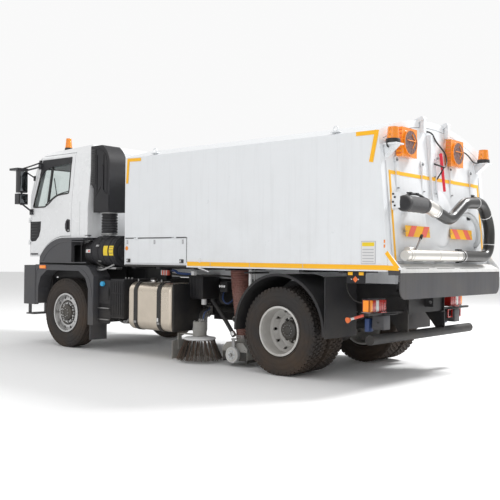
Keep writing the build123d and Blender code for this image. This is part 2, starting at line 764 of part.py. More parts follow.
def door(side, hand):
    """A cab door with its window frame, cut from the cab's own form, and its glass."""
    outer = cab_outline(0)
    inner = cab_outline(cab_wall)
    with BuildPart() as leaf:
        add(outer)
        add(inner, mode=Mode.SUBTRACT)
        with BuildSketch(side_plane(side * (cab_half_w + 100))):
            add(door_outline(0))
        extrude(amount=side * 240, mode=Mode.INTERSECT)
        with BuildSketch(side_plane(side * (cab_half_w + 100))):
            add(window_outline(0))
        extrude(amount=side * 300, mode=Mode.SUBTRACT)
        # Shallow foot and a rear edge that swings clear of the doorway
        slab(front_axle_x + 400, side * (door_sill_y - 200), door_sill_z - 400, 2000, 400, 800,
             Mode.SUBTRACT)
        swing_r = door_hinge_x - door_rear_x + door_gap - 5
        rod_z(door_hinge_x, side * door_hinge_y, 1300, 3100, swing_r, Mode.INTERSECT)
        # Moving knuckles of the hinges
        for z in door_hinge_zs:
            rod_z(door_hinge_x, side * door_hinge_y, z + fit_gap / 2, z + 40, 14)
            slab(door_hinge_x - 16, side * (door_hinge_y - 14), z + 20 + fit_gap / 4, 24, 36,
                 40 - fit_gap / 2)
        # Handle recess
        slab(door_rear_x + 70, side * cab_half_w, 1845, 90, 40, 170, Mode.SUBTRACT)
    write(leaf, f"door_{hand}")
    glass_outer = cab_outline(20)
    glass_inner = cab_outline(20 + glass_t)
    with BuildPart() as pane:
        add(glass_outer)
        add(glass_inner, mode=Mode.SUBTRACT)
        with BuildSketch(side_plane(side * (cab_half_w + 100))):
            add(window_outline(-fit_gap))
        extrude(amount=side * 260, mode=Mode.INTERSECT)
    write(pane, f"door_glass_{hand}")


def mirror_unit(side, hand):
    """Door mirrors: a tall main housing, a wide-angle one below, a kerb mirror above, and the arms."""
    y = side * 1450
    x = front_axle_x + 800
    with BuildPart() as unit:
        slab(x, y, 2545, 110, 165, 350)
        fillet(unit.edges().filter_by(Axis.Z), 30)
        slab(x + 5, y, 2270, 110, 165, 165)
        slab(x + 60, y + side * 15, 2735, 230, 190, 34)
        rod_z(x, y, 2180, 2730, 14)
        for arm_z, foot_z, foot_x, foot_y in ((2700, 2800, front_axle_x + 700, 1158), (2200, 2080,
                                                                                       front_axle_x + 850,
                                                                                    cab_half_w)):
            start = Vector(x, y, arm_z)
            end = Vector(foot_x, side * (foot_y + fit_gap), foot_z)
            with BuildSketch(Plane(origin=start, z_dir=end - start)):
                Circle(13)
            extrude(amount=(end - start).length - 12)
            slab(foot_x, side * (foot_y + 14 + fit_gap), foot_z, 70, 28, 90)
    write(unit, f"mirrors_{hand}")


def cab_trim():
    """Rounded arch trims over the front wheels, fixed under the cab's sides."""
    with BuildPart() as trim:
        for side, hand in sides:
            y_mid = side * (trim_inner_y + guard_outer_y) / 2
            half = (guard_outer_y - trim_inner_y) / 2
            low = guard_top_z + 30
            with BuildSketch(side_plane(y_mid)):
                with BuildLine():
                    ThreePointArc((front_axle_x - 10, cab_floor_z - fit_gap),
                                  (front_axle_x + 323 - fit_gap, 1583.7 - fit_gap),
                                  (front_axle_x + 590 - fit_gap, cab_skirt_z - fit_gap))
                    Polyline((front_axle_x + 590 - fit_gap, cab_skirt_z - fit_gap), (front_axle_x + 590,
                                                                                     low),
                             (cab_back_x + 60, low), (cab_back_x + 60, cab_floor_z - fit_gap),
                             (front_axle_x - 10, cab_floor_z - fit_gap))
                make_face()
            extrude(amount=half, both=True)
            slab(front_axle_x, y_mid - side * 30, low + 120, 1300, 2 * half - 60, 300, Mode.SUBTRACT)
            # Only a thin band is left under the cab's rear corner, over the air filter's inlet
            slab(trim_cut_x - 265, y_mid, trim_cut_z - 214, 530, 2 * half + 20, 428, Mode.SUBTRACT)
    write(trim, "cab_trim")


def cab_interior():
    """Dashboard, two seats, the engine hump and the steering wheel."""
    floor = cab_floor_z + cab_wall + fit_gap
    with BuildPart() as inside:
        slab(front_axle_x - 180, 0, floor + 90, 620, 560, 180)
        for side, hand in sides:
            y = side * 620
            slab(front_axle_x - 190, y, floor + 150, 520, 500, 300)
            slab(front_axle_x - 390, y, floor + 600, 130, 480, 640)
            slab(front_axle_x - 410, y, floor + 980, 90, 260, 170)
            slab(front_axle_x + 60, side * 300, floor + 20, 80, 240, 40)
        slab(front_axle_x - 60, 0, floor + 20, 760, 800, 40)
        slab(front_axle_x + 700, 0, 1990, 330, 2060, 300)
        console_low_z = cab_skirt_z + cab_wall + fit_gap
        slab(front_axle_x + 770, 0, (console_low_z + 1850) / 2, 150, 400, 1850 - console_low_z)
        # Steering column and wheel, on the left
        with BuildSketch(Plane(origin=(front_axle_x + 480, 620, 2080), z_dir=(-0.5, 0, 0.87))):
            Circle(225)
            Circle(198, mode=Mode.SUBTRACT)
            Rectangle(400, 34)
            Circle(50)
        extrude(amount=26)
        with BuildSketch(Plane(origin=(front_axle_x + 480, 620, 2080), z_dir=(0.5, 0, -0.87))):
            Circle(35)
        extrude(amount=150)
        slab(front_axle_x + 560, 620, 1960, 120, 90, 130)
    write(inside, "cab_interior")


def beacon(x, y, z, r, height):
    """An amber lamp: a short base and a domed lens, standing at this height."""
    with BuildPart() as lamp:
        rod_z(x, y, z, z + height * 0.3, r)
        with BuildSketch(Plane.XY.offset(z + height * 0.3)):
            with Locations((x, y)):
                Circle(r * 0.94)
        extrude(amount=height * 0.7, taper=5)
    return lamp.part


def roof_z(x):
    """Height of the cab's gently rising roof at an X."""
    front_x, front_z = front_axle_x + 640, 3010
    back_x = cab_back_x + 90
    return front_z + (cab_top_z - front_z) * (front_x - x) / (front_x - back_x)


def cab_beacon():
    """One amber lamp at the left edge of the cab's roof."""
    with BuildPart() as lamp:
        add(beacon(cab_beacon_x, 1000, roof_z(cab_beacon_x - 55) + fit_gap, 55, 185))
    write(lamp, "cab_beacon")


def snorkel():
    """Tall moulded air intake behind the cab with a rounded rear top, narrowing to a ribbed bellows."""
    x0 = cab_back_x - 20
    with BuildPart() as stack:
        with BuildSketch(side_plane(snorkel_y)):
            with BuildLine():
                Polyline((x0 - 260, 3010), (x0, 3010), (x0, 2470), (x0 - 70, 2380), (x0 - 70, 2030),
                         (x0 - 430, 2030),
                         (x0 - 430, 2720))
                RadiusArc((x0 - 430, 2720), (x0 - 260, 3010), 330)
            make_face()
        extrude(amount=160, both=True)
        fillet(stack.edges().filter_by(GeomType.LINE).filter_by(Axis.Y).group_by(Axis.Z)[-1], 12)
        # Grooved side face
        for x in (x0 - 150, x0 - 300):
            slab(x, snorkel_y + 160, 2560, 18, 24, 620, Mode.SUBTRACT)
        # Bellows
        rod_z(x0 - 250, snorkel_y, 1700, 2030, 105)
        for n in range(7):
            rod_z(x0 - 250, snorkel_y, 1735 + n * 42, 1735 + n * 42 + 18, 118)
        # Clip to the cab's rear wall
        slab(x0 + 5 - fit_gap / 2, snorkel_y - 60, 2700, 30 - fit_gap, 80, 60)
    write(stack, "snorkel")


def air_cleaner():
    """Cylindrical air filter housing on a bracket behind the cab, with its inlet under the bellows."""
    with BuildPart() as can:
        x_low, x_high = cleaner_x - 265, cleaner_x + 265
        rod_x(x_low, x_high, cleaner_y, cleaner_z, 220)
        fillet(can.edges().filter_by(GeomType.CIRCLE), 25)
        rod_x(x_low - 20, x_low, cleaner_y, cleaner_z, 150)
        rod_x(x_high - 30, x_high + snout_length, cleaner_y, cleaner_z - 17, 178)
        for x in (cleaner_x - 130, cleaner_x + 130):
            rod_x(x - 16, x + 16, cleaner_y, cleaner_z, 227)
        rod_z(cab_back_x - 270, snorkel_y, cleaner_z, 1690, 95)
        slab(cleaner_x, (rail_outer_y + cleaner_y) / 2, cleaner_z - 175, 300, cleaner_y - rail_outer_y, 40)
        slab(cleaner_x, rail_outer_y + 25, (cleaner_z - 175 + rail_top_z - 45) / 2, 300, 50 - 2 * fit_gap,
             cleaner_z - 175 - rail_top_z + 45 + 40)
    write(can, "air_cleaner")


def side_boxes():
    """Step and tool box, ribbed battery box, and on the right the silencer box and an air tank."""
    boxes = (
        # x centre, length, low z, high z, ribs
        (front_axle_x - 905, 260, 440, 1040, 0),
        (front_axle_x - 1190, 290, 500, 1060, 6),
    )
    with BuildPart() as units:
        for side, hand in sides:
            for x, length, low, high, ribs in boxes:
                slab(x, side * 880, (low + high) / 2, length, 560, high - low)
                slab(x, side * (rail_outer_y + 600) / 2 + side * fit_gap / 2, (low + high) / 2 + 80,
                     length * 0.6,
                     600 - rail_outer_y - fit_gap, 240)
                for rib in range(ribs):
                    slab(x - length / 2 + (rib + 0.5) * length / ribs, side * 1160, (low + high) / 2, 16,
                         30,
                         high - low - 60)
            for z in (640, 860):
                slab(front_axle_x - 905, side * 1170, z, 230, 60, 110, Mode.SUBTRACT)
        # Silencer box and air tank behind, on the right only
        slab(rear_axle_x + 2300, -860, 720, 800, 560, 600)
        slab(rear_axle_x + 2300, -(rail_outer_y + 590) / 2 - fit_gap / 2, 860, 500,
             590 - rail_outer_y - fit_gap, 120)
    write(units, "side_boxes")


def fuel_tank():
    """Aluminium tank with rounded edges on the left, and the straps that hold it."""
    mid_x = (tank_front_x + tank_back_x) / 2
    mid_z = (tank_low_z + tank_high_z) / 2
    with BuildPart() as tank:
        with BuildSketch(cross_plane(tank_back_x)):
            with Locations(((tank_inner_y + tank_outer_y) / 2, mid_z)):
                RectangleRounded(tank_outer_y - tank_inner_y, tank_high_z - tank_low_z, 130)
        extrude(amount=tank_front_x - tank_back_x)
        fillet(tank.faces().sort_by(Axis.X)[0].edges(), 55)
        fillet(tank.faces().sort_by(Axis.X)[-1].edges(), 55)
        rod_z(mid_x + 180, 900, tank_high_z - 10, tank_high_z + 35, 45)
    write(tank, "fuel_tank")
    with BuildPart() as straps:
        for x in (mid_x - 210, mid_x + 260):
            with BuildSketch(cross_plane(x - 35)):
                with Locations(((tank_inner_y + tank_outer_y) / 2, mid_z)):
                    RectangleRounded(tank_outer_y - tank_inner_y + 16, tank_high_z - tank_low_z + 16, 138)
                    RectangleRounded(tank_outer_y - tank_inner_y + 2 * fit_gap,
                                     tank_high_z - tank_low_z + 2 * fit_gap,
                                     130 + fit_gap, mode=Mode.SUBTRACT)
            extrude(amount=70)
            slab(x, (rail_outer_y + tank_inner_y - 7) / 2 + fit_gap / 2, mid_z + 120, 60,
                 tank_inner_y - 7 - rail_outer_y - fit_gap, 300)
    write(straps, "tank_straps")


def rear_fenders():
    """Round fenders over the twin wheels with stays to the rails, and the mud plates behind them."""
    with BuildPart() as fender:
        for side, hand in sides:
            y_mid = side * (fender_inner_y + fender_outer_y) / 2
            half = (fender_outer_y - fender_inner_y) / 2
            with BuildSketch(side_plane(y_mid)):
                with Locations((rear_axle_x, hub_z + 10)):
                    Circle(fender_r + 22)
                    Circle(fender_r, mode=Mode.SUBTRACT)
                with Locations((rear_axle_x, hub_z - 500)):
                    Rectangle(1600, 960, mode=Mode.SUBTRACT)
            extrude(amount=half, both=True)
            # Outer lip
            with BuildSketch(side_plane(side * (fender_outer_y - 10))):
                with Locations((rear_axle_x, hub_z + 10)):
                    Circle(fender_r + 32)
                    Circle(fender_r, mode=Mode.SUBTRACT)
                with Locations((rear_axle_x, hub_z - 500)):
                    Rectangle(1600, 960, mode=Mode.SUBTRACT)
            extrude(amount=10, both=True)
            slab(rear_axle_x - fender_r - 38, y_mid, 830, 14, 2 * half, 700)
            for x in (rear_axle_x - 552, rear_axle_x + 552):
                slab(x, side * (rail_outer_y + fender_inner_y + 40) / 2 + side * fit_gap / 2, 870, 40,
                     fender_inner_y + 40 - rail_outer_y - fit_gap, 60)
    write(fender, "rear_fenders")


def underrun_bar():
    """Round underrun tube across the rear on two gusseted hangers, with the lamp bearer above it."""
    x = rear_axle_x - 1250
    with BuildPart() as bar:
        rod_y(x, -1210, 1210, 510, 56)
        for side, hand in sides:
            y = side * (rail_outer_y + 10 + fit_gap)
            with BuildSketch(side_plane(y + 10)):
                with BuildLine():
                    Polyline((x - 40, 500), (x + 40, 500), (x + 260, rail_top_z - rail_h + 30),
                             (x + 260, rail_top_z - 60), (x, rail_top_z - 60), (x - 40,
                                                                                rail_top_z - rail_h),
                                                                                close=True)
                make_face()
            extrude(amount=20)
            slab(x + 30, side * 840, lamp_bearer_z, 40, 760, 24)
    write(bar, "underrun_bar")


def tail_lamps():
    """Rear lamp clusters, with an open three-window frame under the right one."""
    x = rear_axle_x - 1250
    with BuildPart() as lamps:
        for side, hand in sides:
            slab(x + 110, side * 950, 867.5, 90, 320, 135)
            slab(x + 60, side * 900, lamp_bearer_z + 16 + fit_gap, 100, 120, 8)
        frame_y = -845
        frame_z = lamp_bearer_z - 12 - fit_gap - 55
        slab(x + 30, frame_y, frame_z, 14, 360, 110)
        for off in (-115, 0, 115):
            slab(x + 30, frame_y + off, frame_z, 60, 90, 78, Mode.SUBTRACT)
    write(lamps, "tail_lamps")


def arch_points(inset):
    """Corner and crown points (y, z) of the hopper's section, this far inside its skin."""
    return (half_width - inset, hopper_shoulder_z - inset * 0.1), (0, hopper_peak_z - inset)


def hopper_section(inset, low_z):
    """The hopper's cross section as a sketch: upright sides and a bowed roof."""
    (side_y, shoulder_z), (crown_y, crown_z) = arch_points(inset)
    with BuildSketch() as outline:
        with BuildLine():
            Polyline((side_y, shoulder_z), (side_y, low_z), (-side_y, low_z), (-side_y, shoulder_z))
            ThreePointArc((-side_y, shoulder_z), (crown_y, crown_z), (side_y, shoulder_z))
        make_face()
    return outline.sketch_local


def rear_cut(forward):
    """Cuts away what lies behind the sloping rear face, moved forward by this much."""
    with BuildPart() as waste:
        with BuildSketch(side_plane(0)):
            with BuildLine():
                Polyline((rear_face_x(3200) + forward, 3200), (rear_face_x(900) + forward, 900),
                         (rear_axle_x - 3000, 900), (rear_axle_x - 3000, 3200), close=True)
            make_face()
        extrude(amount=2000, both=True)
    return waste.part


def hopper_body():
    """The hollow tipping hopper: sides, bowed roof, floor, front wall and a locker pocket on each side."""
    with BuildPart() as hopper:
        with BuildSketch(cross_plane(rear_axle_x - 1700)):
            add(hopper_section(0, hopper_bottom_z))
        extrude(amount=hopper_front_x - rear_axle_x + 1700)
        add(rear_cut(0), mode=Mode.SUBTRACT)
        # Load space, open at the rear, with a raised floor over the lockers
        with BuildSketch(cross_plane(rear_axle_x - 1900)):
            add(hopper_section(hopper_wall, hopper_bottom_z + hopper_floor))
        extrude(amount=locker_back_x - 40 - rear_axle_x + 1900, mode=Mode.SUBTRACT)
        with BuildSketch(cross_plane(locker_back_x - 100)):
            add(hopper_section(hopper_wall, locker_high_z + hopper_floor))
        extrude(amount=hopper_front_x - hopper_wall - locker_back_x + 100, mode=Mode.SUBTRACT)
        # Locker pockets
        for side, hand in sides:
            slab((locker_front_x + locker_back_x) / 2, side * (half_width - locker_depth / 2 + 10),
                 (locker_low_z + locker_high_z) / 2, locker_front_x - locker_back_x - 60, locker_depth + 20,
                 locker_high_z - locker_low_z - 50, Mode.SUBTRACT)
            slab((locker_front_x + locker_back_x) / 2, side * (half_width - (locker_door_t + 4) / 2 + 10),
                 (locker_low_z + locker_high_z) / 2, locker_front_x - locker_back_x + 2 * panel_gap,
                 locker_door_t + 24, locker_high_z - locker_low_z + 2 * panel_gap, Mode.SUBTRACT)
        # Beams under the floor and hinge lugs
        for side, hand in sides:
            y = side * (rail_outer_y - rail_flange / 2)
            beam_rear_x = hopper_hinge_x + 140
            beam_front_x = hopper_front_x - 120
            slab((beam_rear_x + beam_front_x) / 2, y, (subframe_top_z + 10 + hopper_bottom_z) / 2,
                 beam_front_x - beam_rear_x, rail_flange, hopper_bottom_z - subframe_top_z - 10)
            for off in (-1, 1):
                with BuildSketch(side_plane(y + off * (hinge_ear_t / 2 + 14) + 9)):
                    with Locations((hopper_hinge_x, hopper_hinge_z)):
                        Circle(40)
                    with BuildLine():
                        Polyline((hopper_hinge_x - 40, hopper_hinge_z), (hopper_hinge_x + 40,
                                                                         hopper_hinge_z),
                                 (hopper_hinge_x + 60, hopper_bottom_z), (hopper_hinge_x - 60,
                                                                          hopper_bottom_z),
                                 close=True)
                    make_face()
                extrude(amount=18)
            rod_y(hopper_hinge_x, y - 45, y + 45, hopper_hinge_z, hinge_pin_r)
            # Ears above the tipping cylinder's rod
            with BuildSketch(side_plane(side * (cylinder_r + 10) + 8)):
                with BuildLine():
                    Polyline((cylinder_eye_x - 60, hopper_bottom_z), (cylinder_eye_x - 30,
                                                                      cylinder_eye_z - 30),
                             (cylinder_eye_x + 30, cylinder_eye_z - 30), (cylinder_eye_x + 60,
                                                                          hopper_bottom_z),
                             close=True)
                make_face()
            extrude(amount=16)
        add(rear_frame())
        # Lugs and pins of the tailgate's hinges
        for side, hand in sides:
            for off in (-1, 1):
                with BuildSketch(side_plane(side * gate_hinge_y + off * (gate_arm_w / 2 + 10) + 5)):
                    with Locations((gate_hinge_x, gate_hinge_z)):
                        Circle(24)
                    with BuildLine():
                        Polyline((gate_hinge_x, gate_hinge_z + 24), (rear_top_x + 60, gate_hinge_z - 10),
                                 (rear_top_x + 60, hopper_peak_z - 50), (rear_top_x + 4,
                                                                         hopper_peak_z - 40),
                                 (gate_hinge_x - 10, gate_hinge_z - 22), close=True)
                    make_face()
                extrude(amount=10)
            rod_y(gate_hinge_x, side * gate_hinge_y - gate_arm_w / 2 - 20,
                  side * gate_hinge_y + gate_arm_w / 2 + 20,
                  gate_hinge_z, gate_pin_r)
            # Fixed knuckles of the locker door's hinges
            for x in locker_hinge_xs:
                rod_x(x - 40, x - fit_gap / 2, side * locker_hinge_y, locker_hinge_z, 8)
                slab(x - 20 - fit_gap / 4, side * (half_width + 2), locker_hinge_z + 8, 40 - fit_gap / 2,
                     12, 10)
    write(hopper, "hopper_body")


def tailgate_outline(trim):
    """The tailgate's outline seen from behind, this much smaller all round, with a bowed top."""
    side_y = tailgate_half_w - trim
    top_z = hopper_shoulder_z - tailgate_edge - trim
    crown_z = hopper_peak_z - tailgate_edge - trim
    foot_z = tailgate_foot_z + trim
    with BuildSketch() as outline:
        with BuildLine():
            Polyline((side_y, top_z), (side_y, foot_z), (-side_y, foot_z), (-side_y, top_z))
            ThreePointArc((-side_y, top_z), (0, crown_z), (side_y, top_z))
        make_face()
    return outline.sketch_local


def sloped_sheet(front, back):
    """Keeps only what lies between two planes along the sloping rear face, at these depths."""
    with BuildPart() as sheet:
        with BuildSketch(side_plane(0)):
            with BuildLine():
                Polyline((rear_face_x(3200) + front, 3200), (rear_face_x(900) + front, 900),
                         (rear_face_x(900) + back, 900), (rear_face_x(3200) + back, 3200), close=True)
            make_face()
        extrude(amount=2000, both=True)
    return sheet.part


def rear_frame():
    """The frame round the hopper's rear opening, as deep as the tailgate that lies flush in it."""
    with BuildPart() as ring:
        with BuildSketch(cross_plane(rear_axle_x - 1700)):
            add(hopper_section(0, hopper_bottom_z))
        extrude(amount=800)
        with BuildSketch(cross_plane(rear_axle_x - 1700)):
            add(tailgate_outline(-panel_gap))
        extrude(amount=800, mode=Mode.SUBTRACT)
        add(sloped_sheet(0, tailgate_t + panel_gap), mode=Mode.INTERSECT)
    return ring.part


def tailgate_bulge():
    """The shallow round cap pressed outwards in the tailgate's lower half."""
    with BuildPart() as cap:
        with Locations((rear_face_x(bulge_z) + bulge_sphere_r - bulge_depth, 0, bulge_z)):
            Sphere(bulge_sphere_r)
        add(sloped_sheet(-2 * bulge_depth, 10), mode=Mode.INTERSECT)
    return cap.part


def tailgate():
    """The sloping tailgate with its upright ribs, a centre post and the dished bulge in its lower half."""
    with BuildPart() as gate:
        with BuildSketch(cross_plane(rear_axle_x - 1700)):
            add(tailgate_outline(0))
        extrude(amount=800)
        add(sloped_sheet(0, tailgate_t), mode=Mode.INTERSECT)
        for y, rib_low, rib_high in gate_ribs:
            slab(rear_face_x((rib_low + rib_high) / 2) + 8, y, (rib_low + rib_high) / 2, 44, 60,
                 rib_high - rib_low)
        slab(rear_face_x(2450) + 20, 120, 2450, 90, 110, 760)
        add(tailgate_bulge())
        # Hinge arms over the top edge
        for side, hand in sides:
            with BuildSketch(side_plane(side * gate_hinge_y + gate_arm_w / 2)):
                with BuildLine():
                    Polyline((gate_hinge_x - 24, gate_hinge_z), (gate_hinge_x - 24, 2840),
                             (rear_face_x(2840) + 5, 2840),
                             (rear_face_x(2895) + 1, 2895), (gate_hinge_x + 22, 2912), (gate_hinge_x + 22,
                                                                                        gate_hinge_z),
                             close=True)
                make_face()
                with Locations((gate_hinge_x, gate_hinge_z)):
                    Circle(24)
                    Circle(gate_pin_r + fit_gap, mode=Mode.SUBTRACT)
            extrude(amount=gate_arm_w)
    write(gate, "tailgate")


def rear_apron():
    """The ledge under the tailgate and the steel apron below it, with rounded lower corners."""
    back_x = rear_axle_x - 1640
    with BuildPart() as apron:
        with BuildSketch(side_plane(0)):
            with BuildLine():
                Polyline((rear_face_x(1330) - fit_gap, 1330), (rear_face_x(1330) - 60, 1325),
                         (back_x, 1275),
                         (back_x, 1215), (rear_face_x(1215) - fit_gap, 1215), close=True)
            make_face()
        extrude(amount=half_width, both=True)
        with BuildSketch(cross_plane(back_x)):
            with BuildLine():
                FilletPolyline((-half_width, 1220), (-half_width, apron_low_z), (half_width, apron_low_z),
                               (half_width, 1220), radius=110)
                Line((half_width, 1220), (-half_width, 1220))
            make_face()
        extrude(amount=14)
        # Corner gussets that run from the ledge up the hopper's sides
        for side, hand in sides:
            with BuildSketch(side_plane(side * half_width + (0 if side > 0 else gusset_t))):
                with BuildLine():
                    Polyline((rear_face_x(gusset_top_z) - fit_gap, gusset_top_z), (back_x, 1290),
                             (back_x, 1270),
                             (rear_face_x(1215) - fit_gap, 1270), close=True)
                make_face()
            extrude(amount=gusset_t)
    write(apron, "rear_apron")


def locker_door(side, hand):
    """A flat locker door hinged along its top edge."""
    with BuildPart() as leaf:
        slab((locker_front_x + locker_back_x) / 2, side * (half_width - locker_door_t / 2),
             (locker_low_z + locker_high_z) / 2, locker_front_x - locker_back_x, locker_door_t,
             locker_high_z - locker_low_z)
        for x in locker_hinge_xs:
            rod_x(x + fit_gap / 2, x + 40, side * locker_hinge_y, locker_hinge_z, 8)
            slab(x + 20 + fit_gap / 4, side * (half_width + 2), locker_hinge_z - 8, 40 - fit_gap / 2, 12,
                 10)
    write(leaf, f"locker_door_{hand}")


def warning_lamps():
    """Two square flashing arrow lamps with round meshed faces, and two amber beacons on corner brackets."""
    with BuildPart() as lamps:
        for y in (770, -390):
            x = rear_face_x(2665)
            slab(x - 62, y, 2665, 70, 330, 320)
            rod_x(x - 112, x - 90, y, 2665, 142)
            slab((x - 27 + rear_face_x(2605) - fit_gap) / 2, y, 2665, rear_face_x(2605) - fit_gap - x + 27,
                 120, 120)
        for side, hand in sides:
            x = rear_face_x(2610) - 95
            root_x = rear_face_x(2604) - fit_gap
            add(beacon(x, side * 1130, 2616, 72, 175))
            slab(x - 5, side * 1130, 2610, 160, 160, 12)
            slab((x + 60 + root_x) / 2, side * 1090, 2610, root_x - x - 60, 110, 12)
    write(lamps, "warning_lamps")


def wander_hose():
    """The hand hose clipped across the tailgate: a sleeve, an S bend, and a drop to the lower pipe."""
    x = rear_axle_x - hose_stand_off
    path_points = ((420, 1927.5), (60, 1837.5), (-330, 2060), (-800, 2085), (-1035, 1800), (-1010, 1425),
                   (-230, 1425))
    with BuildPart() as hose:
        with BuildLine(cross_plane(x)) as run:
            FilletPolyline(*path_points, radius=(280, 300, 230, 330, 190))
        with BuildSketch(Plane(origin=run.line @ 0, z_dir=run.line % 0)):
            Circle(hose_r)
        sweep(path=run.line)
        rod_y(x, 660, 1130, 1975, sleeve_r)
    write(hose, "wander_hose")


def hose_pipes():
    """Aluminium coupling between sleeve and hose, and the lower pipe with its handle and stand-offs."""
    x = rear_axle_x - hose_stand_off
    with BuildPart() as pipes:
        with BuildLine(cross_plane(x)) as run:
            FilletPolyline((660 - fit_gap, 1975), (610, 1975), (420 + fit_gap, 1927.5), radius=110)
        with BuildSketch(Plane(origin=run.line @ 0, z_dir=run.line % 0)):
            Circle(76)
        sweep(path=run.line)
        rod_y(x, -230 + fit_gap, 1020, 1425, 62)
        rod_y(x, 1020, 1020 + spigot_len, 1425, spigot_r)
        for y in (900, 420):
            foot_x = rear_face_x(1395) - fit_gap
            slab((x + 20 + foot_x) / 2, y, 1425, foot_x - x - 20, 60, 60)
    write(pipes, "hose_pipes")


def tipping_cylinder():
    """The hopper's tipping cylinder: a barrel on its base pin, and the rod with its eye."""
    dx, dz = cylinder_eye_x - cylinder_base_x, cylinder_eye_z - cylinder_base_z
    length = hypot(dx, dz)
    along = Vector(dx / length, 0, dz / length)
    base = Vector(cylinder_base_x, 0, cylinder_base_z)
    with BuildPart() as barrel:
        with BuildSketch(Plane(origin=base, z_dir=along)):
            Circle(cylinder_r)
        extrude(amount=length - 150)
        with BuildSketch(Plane(origin=base + along * 80, z_dir=along)):
            Circle(cylinder_rod_r + fit_gap)
        extrude(amount=length, mode=Mode.SUBTRACT)
        rod_y(cylinder_base_x, -cylinder_r - 26, cylinder_r + 26, cylinder_base_z, cylinder_pin_r)
    write(barrel, "cylinder_barrel")
    with BuildPart() as rod:
        with BuildSketch(Plane(origin=base + along * 100, z_dir=along)):
            Circle(cylinder_rod_r)
        extrude(amount=length - 110)
        rod_y(cylinder_eye_x, -42, 42, cylinder_eye_z, 46)
        rod_y(cylinder_eye_x, -60, 60, cylinder_eye_z, 24, Mode.SUBTRACT)
    write(rod, "cylinder_rod")


def broom_arm(side, hand):
    """Swing arm of a side broom with its hydraulic motor and a guard plate in front of the bristles."""
    with BuildPart() as arm:
        rod_z(broom_pivot_x, side * broom_pivot_y, broom_pivot_z - 55, broom_pivot_z + 55, 42)
        rod_z(broom_pivot_x, side * broom_pivot_y, broom_pivot_z - 84, broom_pivot_z + 84, broom_pin_r)
        start = Vector(broom_pivot_x, side * broom_pivot_y, broom_pivot_z + 10)
        end = Vector(broom_x, side * broom_y, motor_top_z - 30)
        with BuildSketch(Plane(origin=start, z_dir=end - start)):
            Rectangle(60, 60)
        extrude(amount=(end - start).length)
        rod_z(broom_x, side * broom_y, disc_top_z + 10, motor_top_z, 92)
        slab(broom_x + 185, side * broom_y, disc_top_z + 22, 370, 50, 16)
        slab(broom_x + broom_r + 40, side * (broom_y + 20), 247, 20, 60, 226)
        slab(broom_x + broom_r + 50, side * (broom_y + 20), 140, 12, 260, 240)
    write(arm, f"broom_arm_{hand}")
    with BuildPart() as brush:
        rod_z(broom_x, side * broom_y, disc_top_z - 40, disc_top_z, broom_disc_r)
        rod_z(broom_x, side * broom_y, disc_top_z, disc_top_z + 10 - fit_gap, 50)
        for row in range(bristle_rows):
            turn = 360 / bristle_rows * row
            with BuildSketch(Plane.XY.offset(disc_top_z - 60)):
                with Locations((broom_x, side * broom_y)):
                    with PolarLocations(broom_disc_r - 30, 1, start_angle=turn):
                        Circle(bristle_r)
            with BuildSketch(Plane.XY.offset(broom_low_z)):
                with Locations((broom_x, side * broom_y)):
                    with PolarLocations(broom_r - bristle_foot_r, 1, start_angle=turn):
                        Circle(bristle_foot_r)
            loft()
        with BuildSketch(Plane.XY.offset(disc_top_z - 60)):
            with Locations((broom_x, side * broom_y)):
                Circle(broom_disc_r)
                Circle(broom_disc_r - 70, mode=Mode.SUBTRACT)
        extrude(amount=30)
    write(brush, f"brush_{hand}")


def nozzle(side, hand):
    """Suction nozzle: a low box open below, its trailing arm, and the axle of its castor wheels."""
    y_mid = side * (nozzle_in_y + nozzle_out_y) / 2
    width = nozzle_out_y - nozzle_in_y
    with BuildPart() as box:
        slab(nozzle_x, y_mid, (nozzle_low_z + nozzle_top_z) / 2, nozzle_len, width,
             nozzle_top_z - nozzle_low_z)
        chamfer(box.edges().filter_by(Axis.Y).group_by(Axis.Z)[-1], 70)
        slab(nozzle_x, y_mid, nozzle_low_z + 60, nozzle_len - 50, width - 50, 130, Mode.SUBTRACT)
        rod_z(nozzle_x, side * nozzle_spout_y, nozzle_top_z - 20, nozzle_top_z + 50, 82)
        rod_z(nozzle_x, side * nozzle_spout_y, nozzle_low_z, nozzle_top_z + 60, 62, Mode.SUBTRACT)
        # Trailing arm
        start = Vector(nozzle_pivot_x, side * nozzle_pivot_y, nozzle_pivot_z)
        end = Vector(nozzle_x, side * nozzle_pivot_y, nozzle_top_z - 20)
        with BuildSketch(Plane(origin=start, z_dir=end - start)):
            Rectangle(50, 50)
        extrude(amount=(end - start).length)
        rod_y(nozzle_pivot_x, side * (nozzle_pivot_y - 30), side * (nozzle_pivot_y + 30), nozzle_pivot_z,
              38)
        rod_y(nozzle_pivot_x, side * (nozzle_pivot_y - 40), side * (nozzle_pivot_y + 45), nozzle_pivot_z,
              nozzle_pin_r + fit_gap, Mode.SUBTRACT)
        # Axle stub of the castor
        rod_y(nozzle_x, side * nozzle_out_y, side * (nozzle_out_y + 70), nozzle_wheel_z, 14)
    write(box, f"nozzle_{hand}")
    with BuildPart() as wheel:
        rod_y(nozzle_x, side * (nozzle_out_y + 8), side * (nozzle_out_y + 62), nozzle_wheel_z,
              nozzle_wheel_r)
        rod_y(nozzle_x, side * (nozzle_out_y - 10), side * (nozzle_out_y + 80), nozzle_wheel_z,
              14 + fit_gap,
              Mode.SUBTRACT)
    write(wheel, f"nozzle_wheel_{hand}")


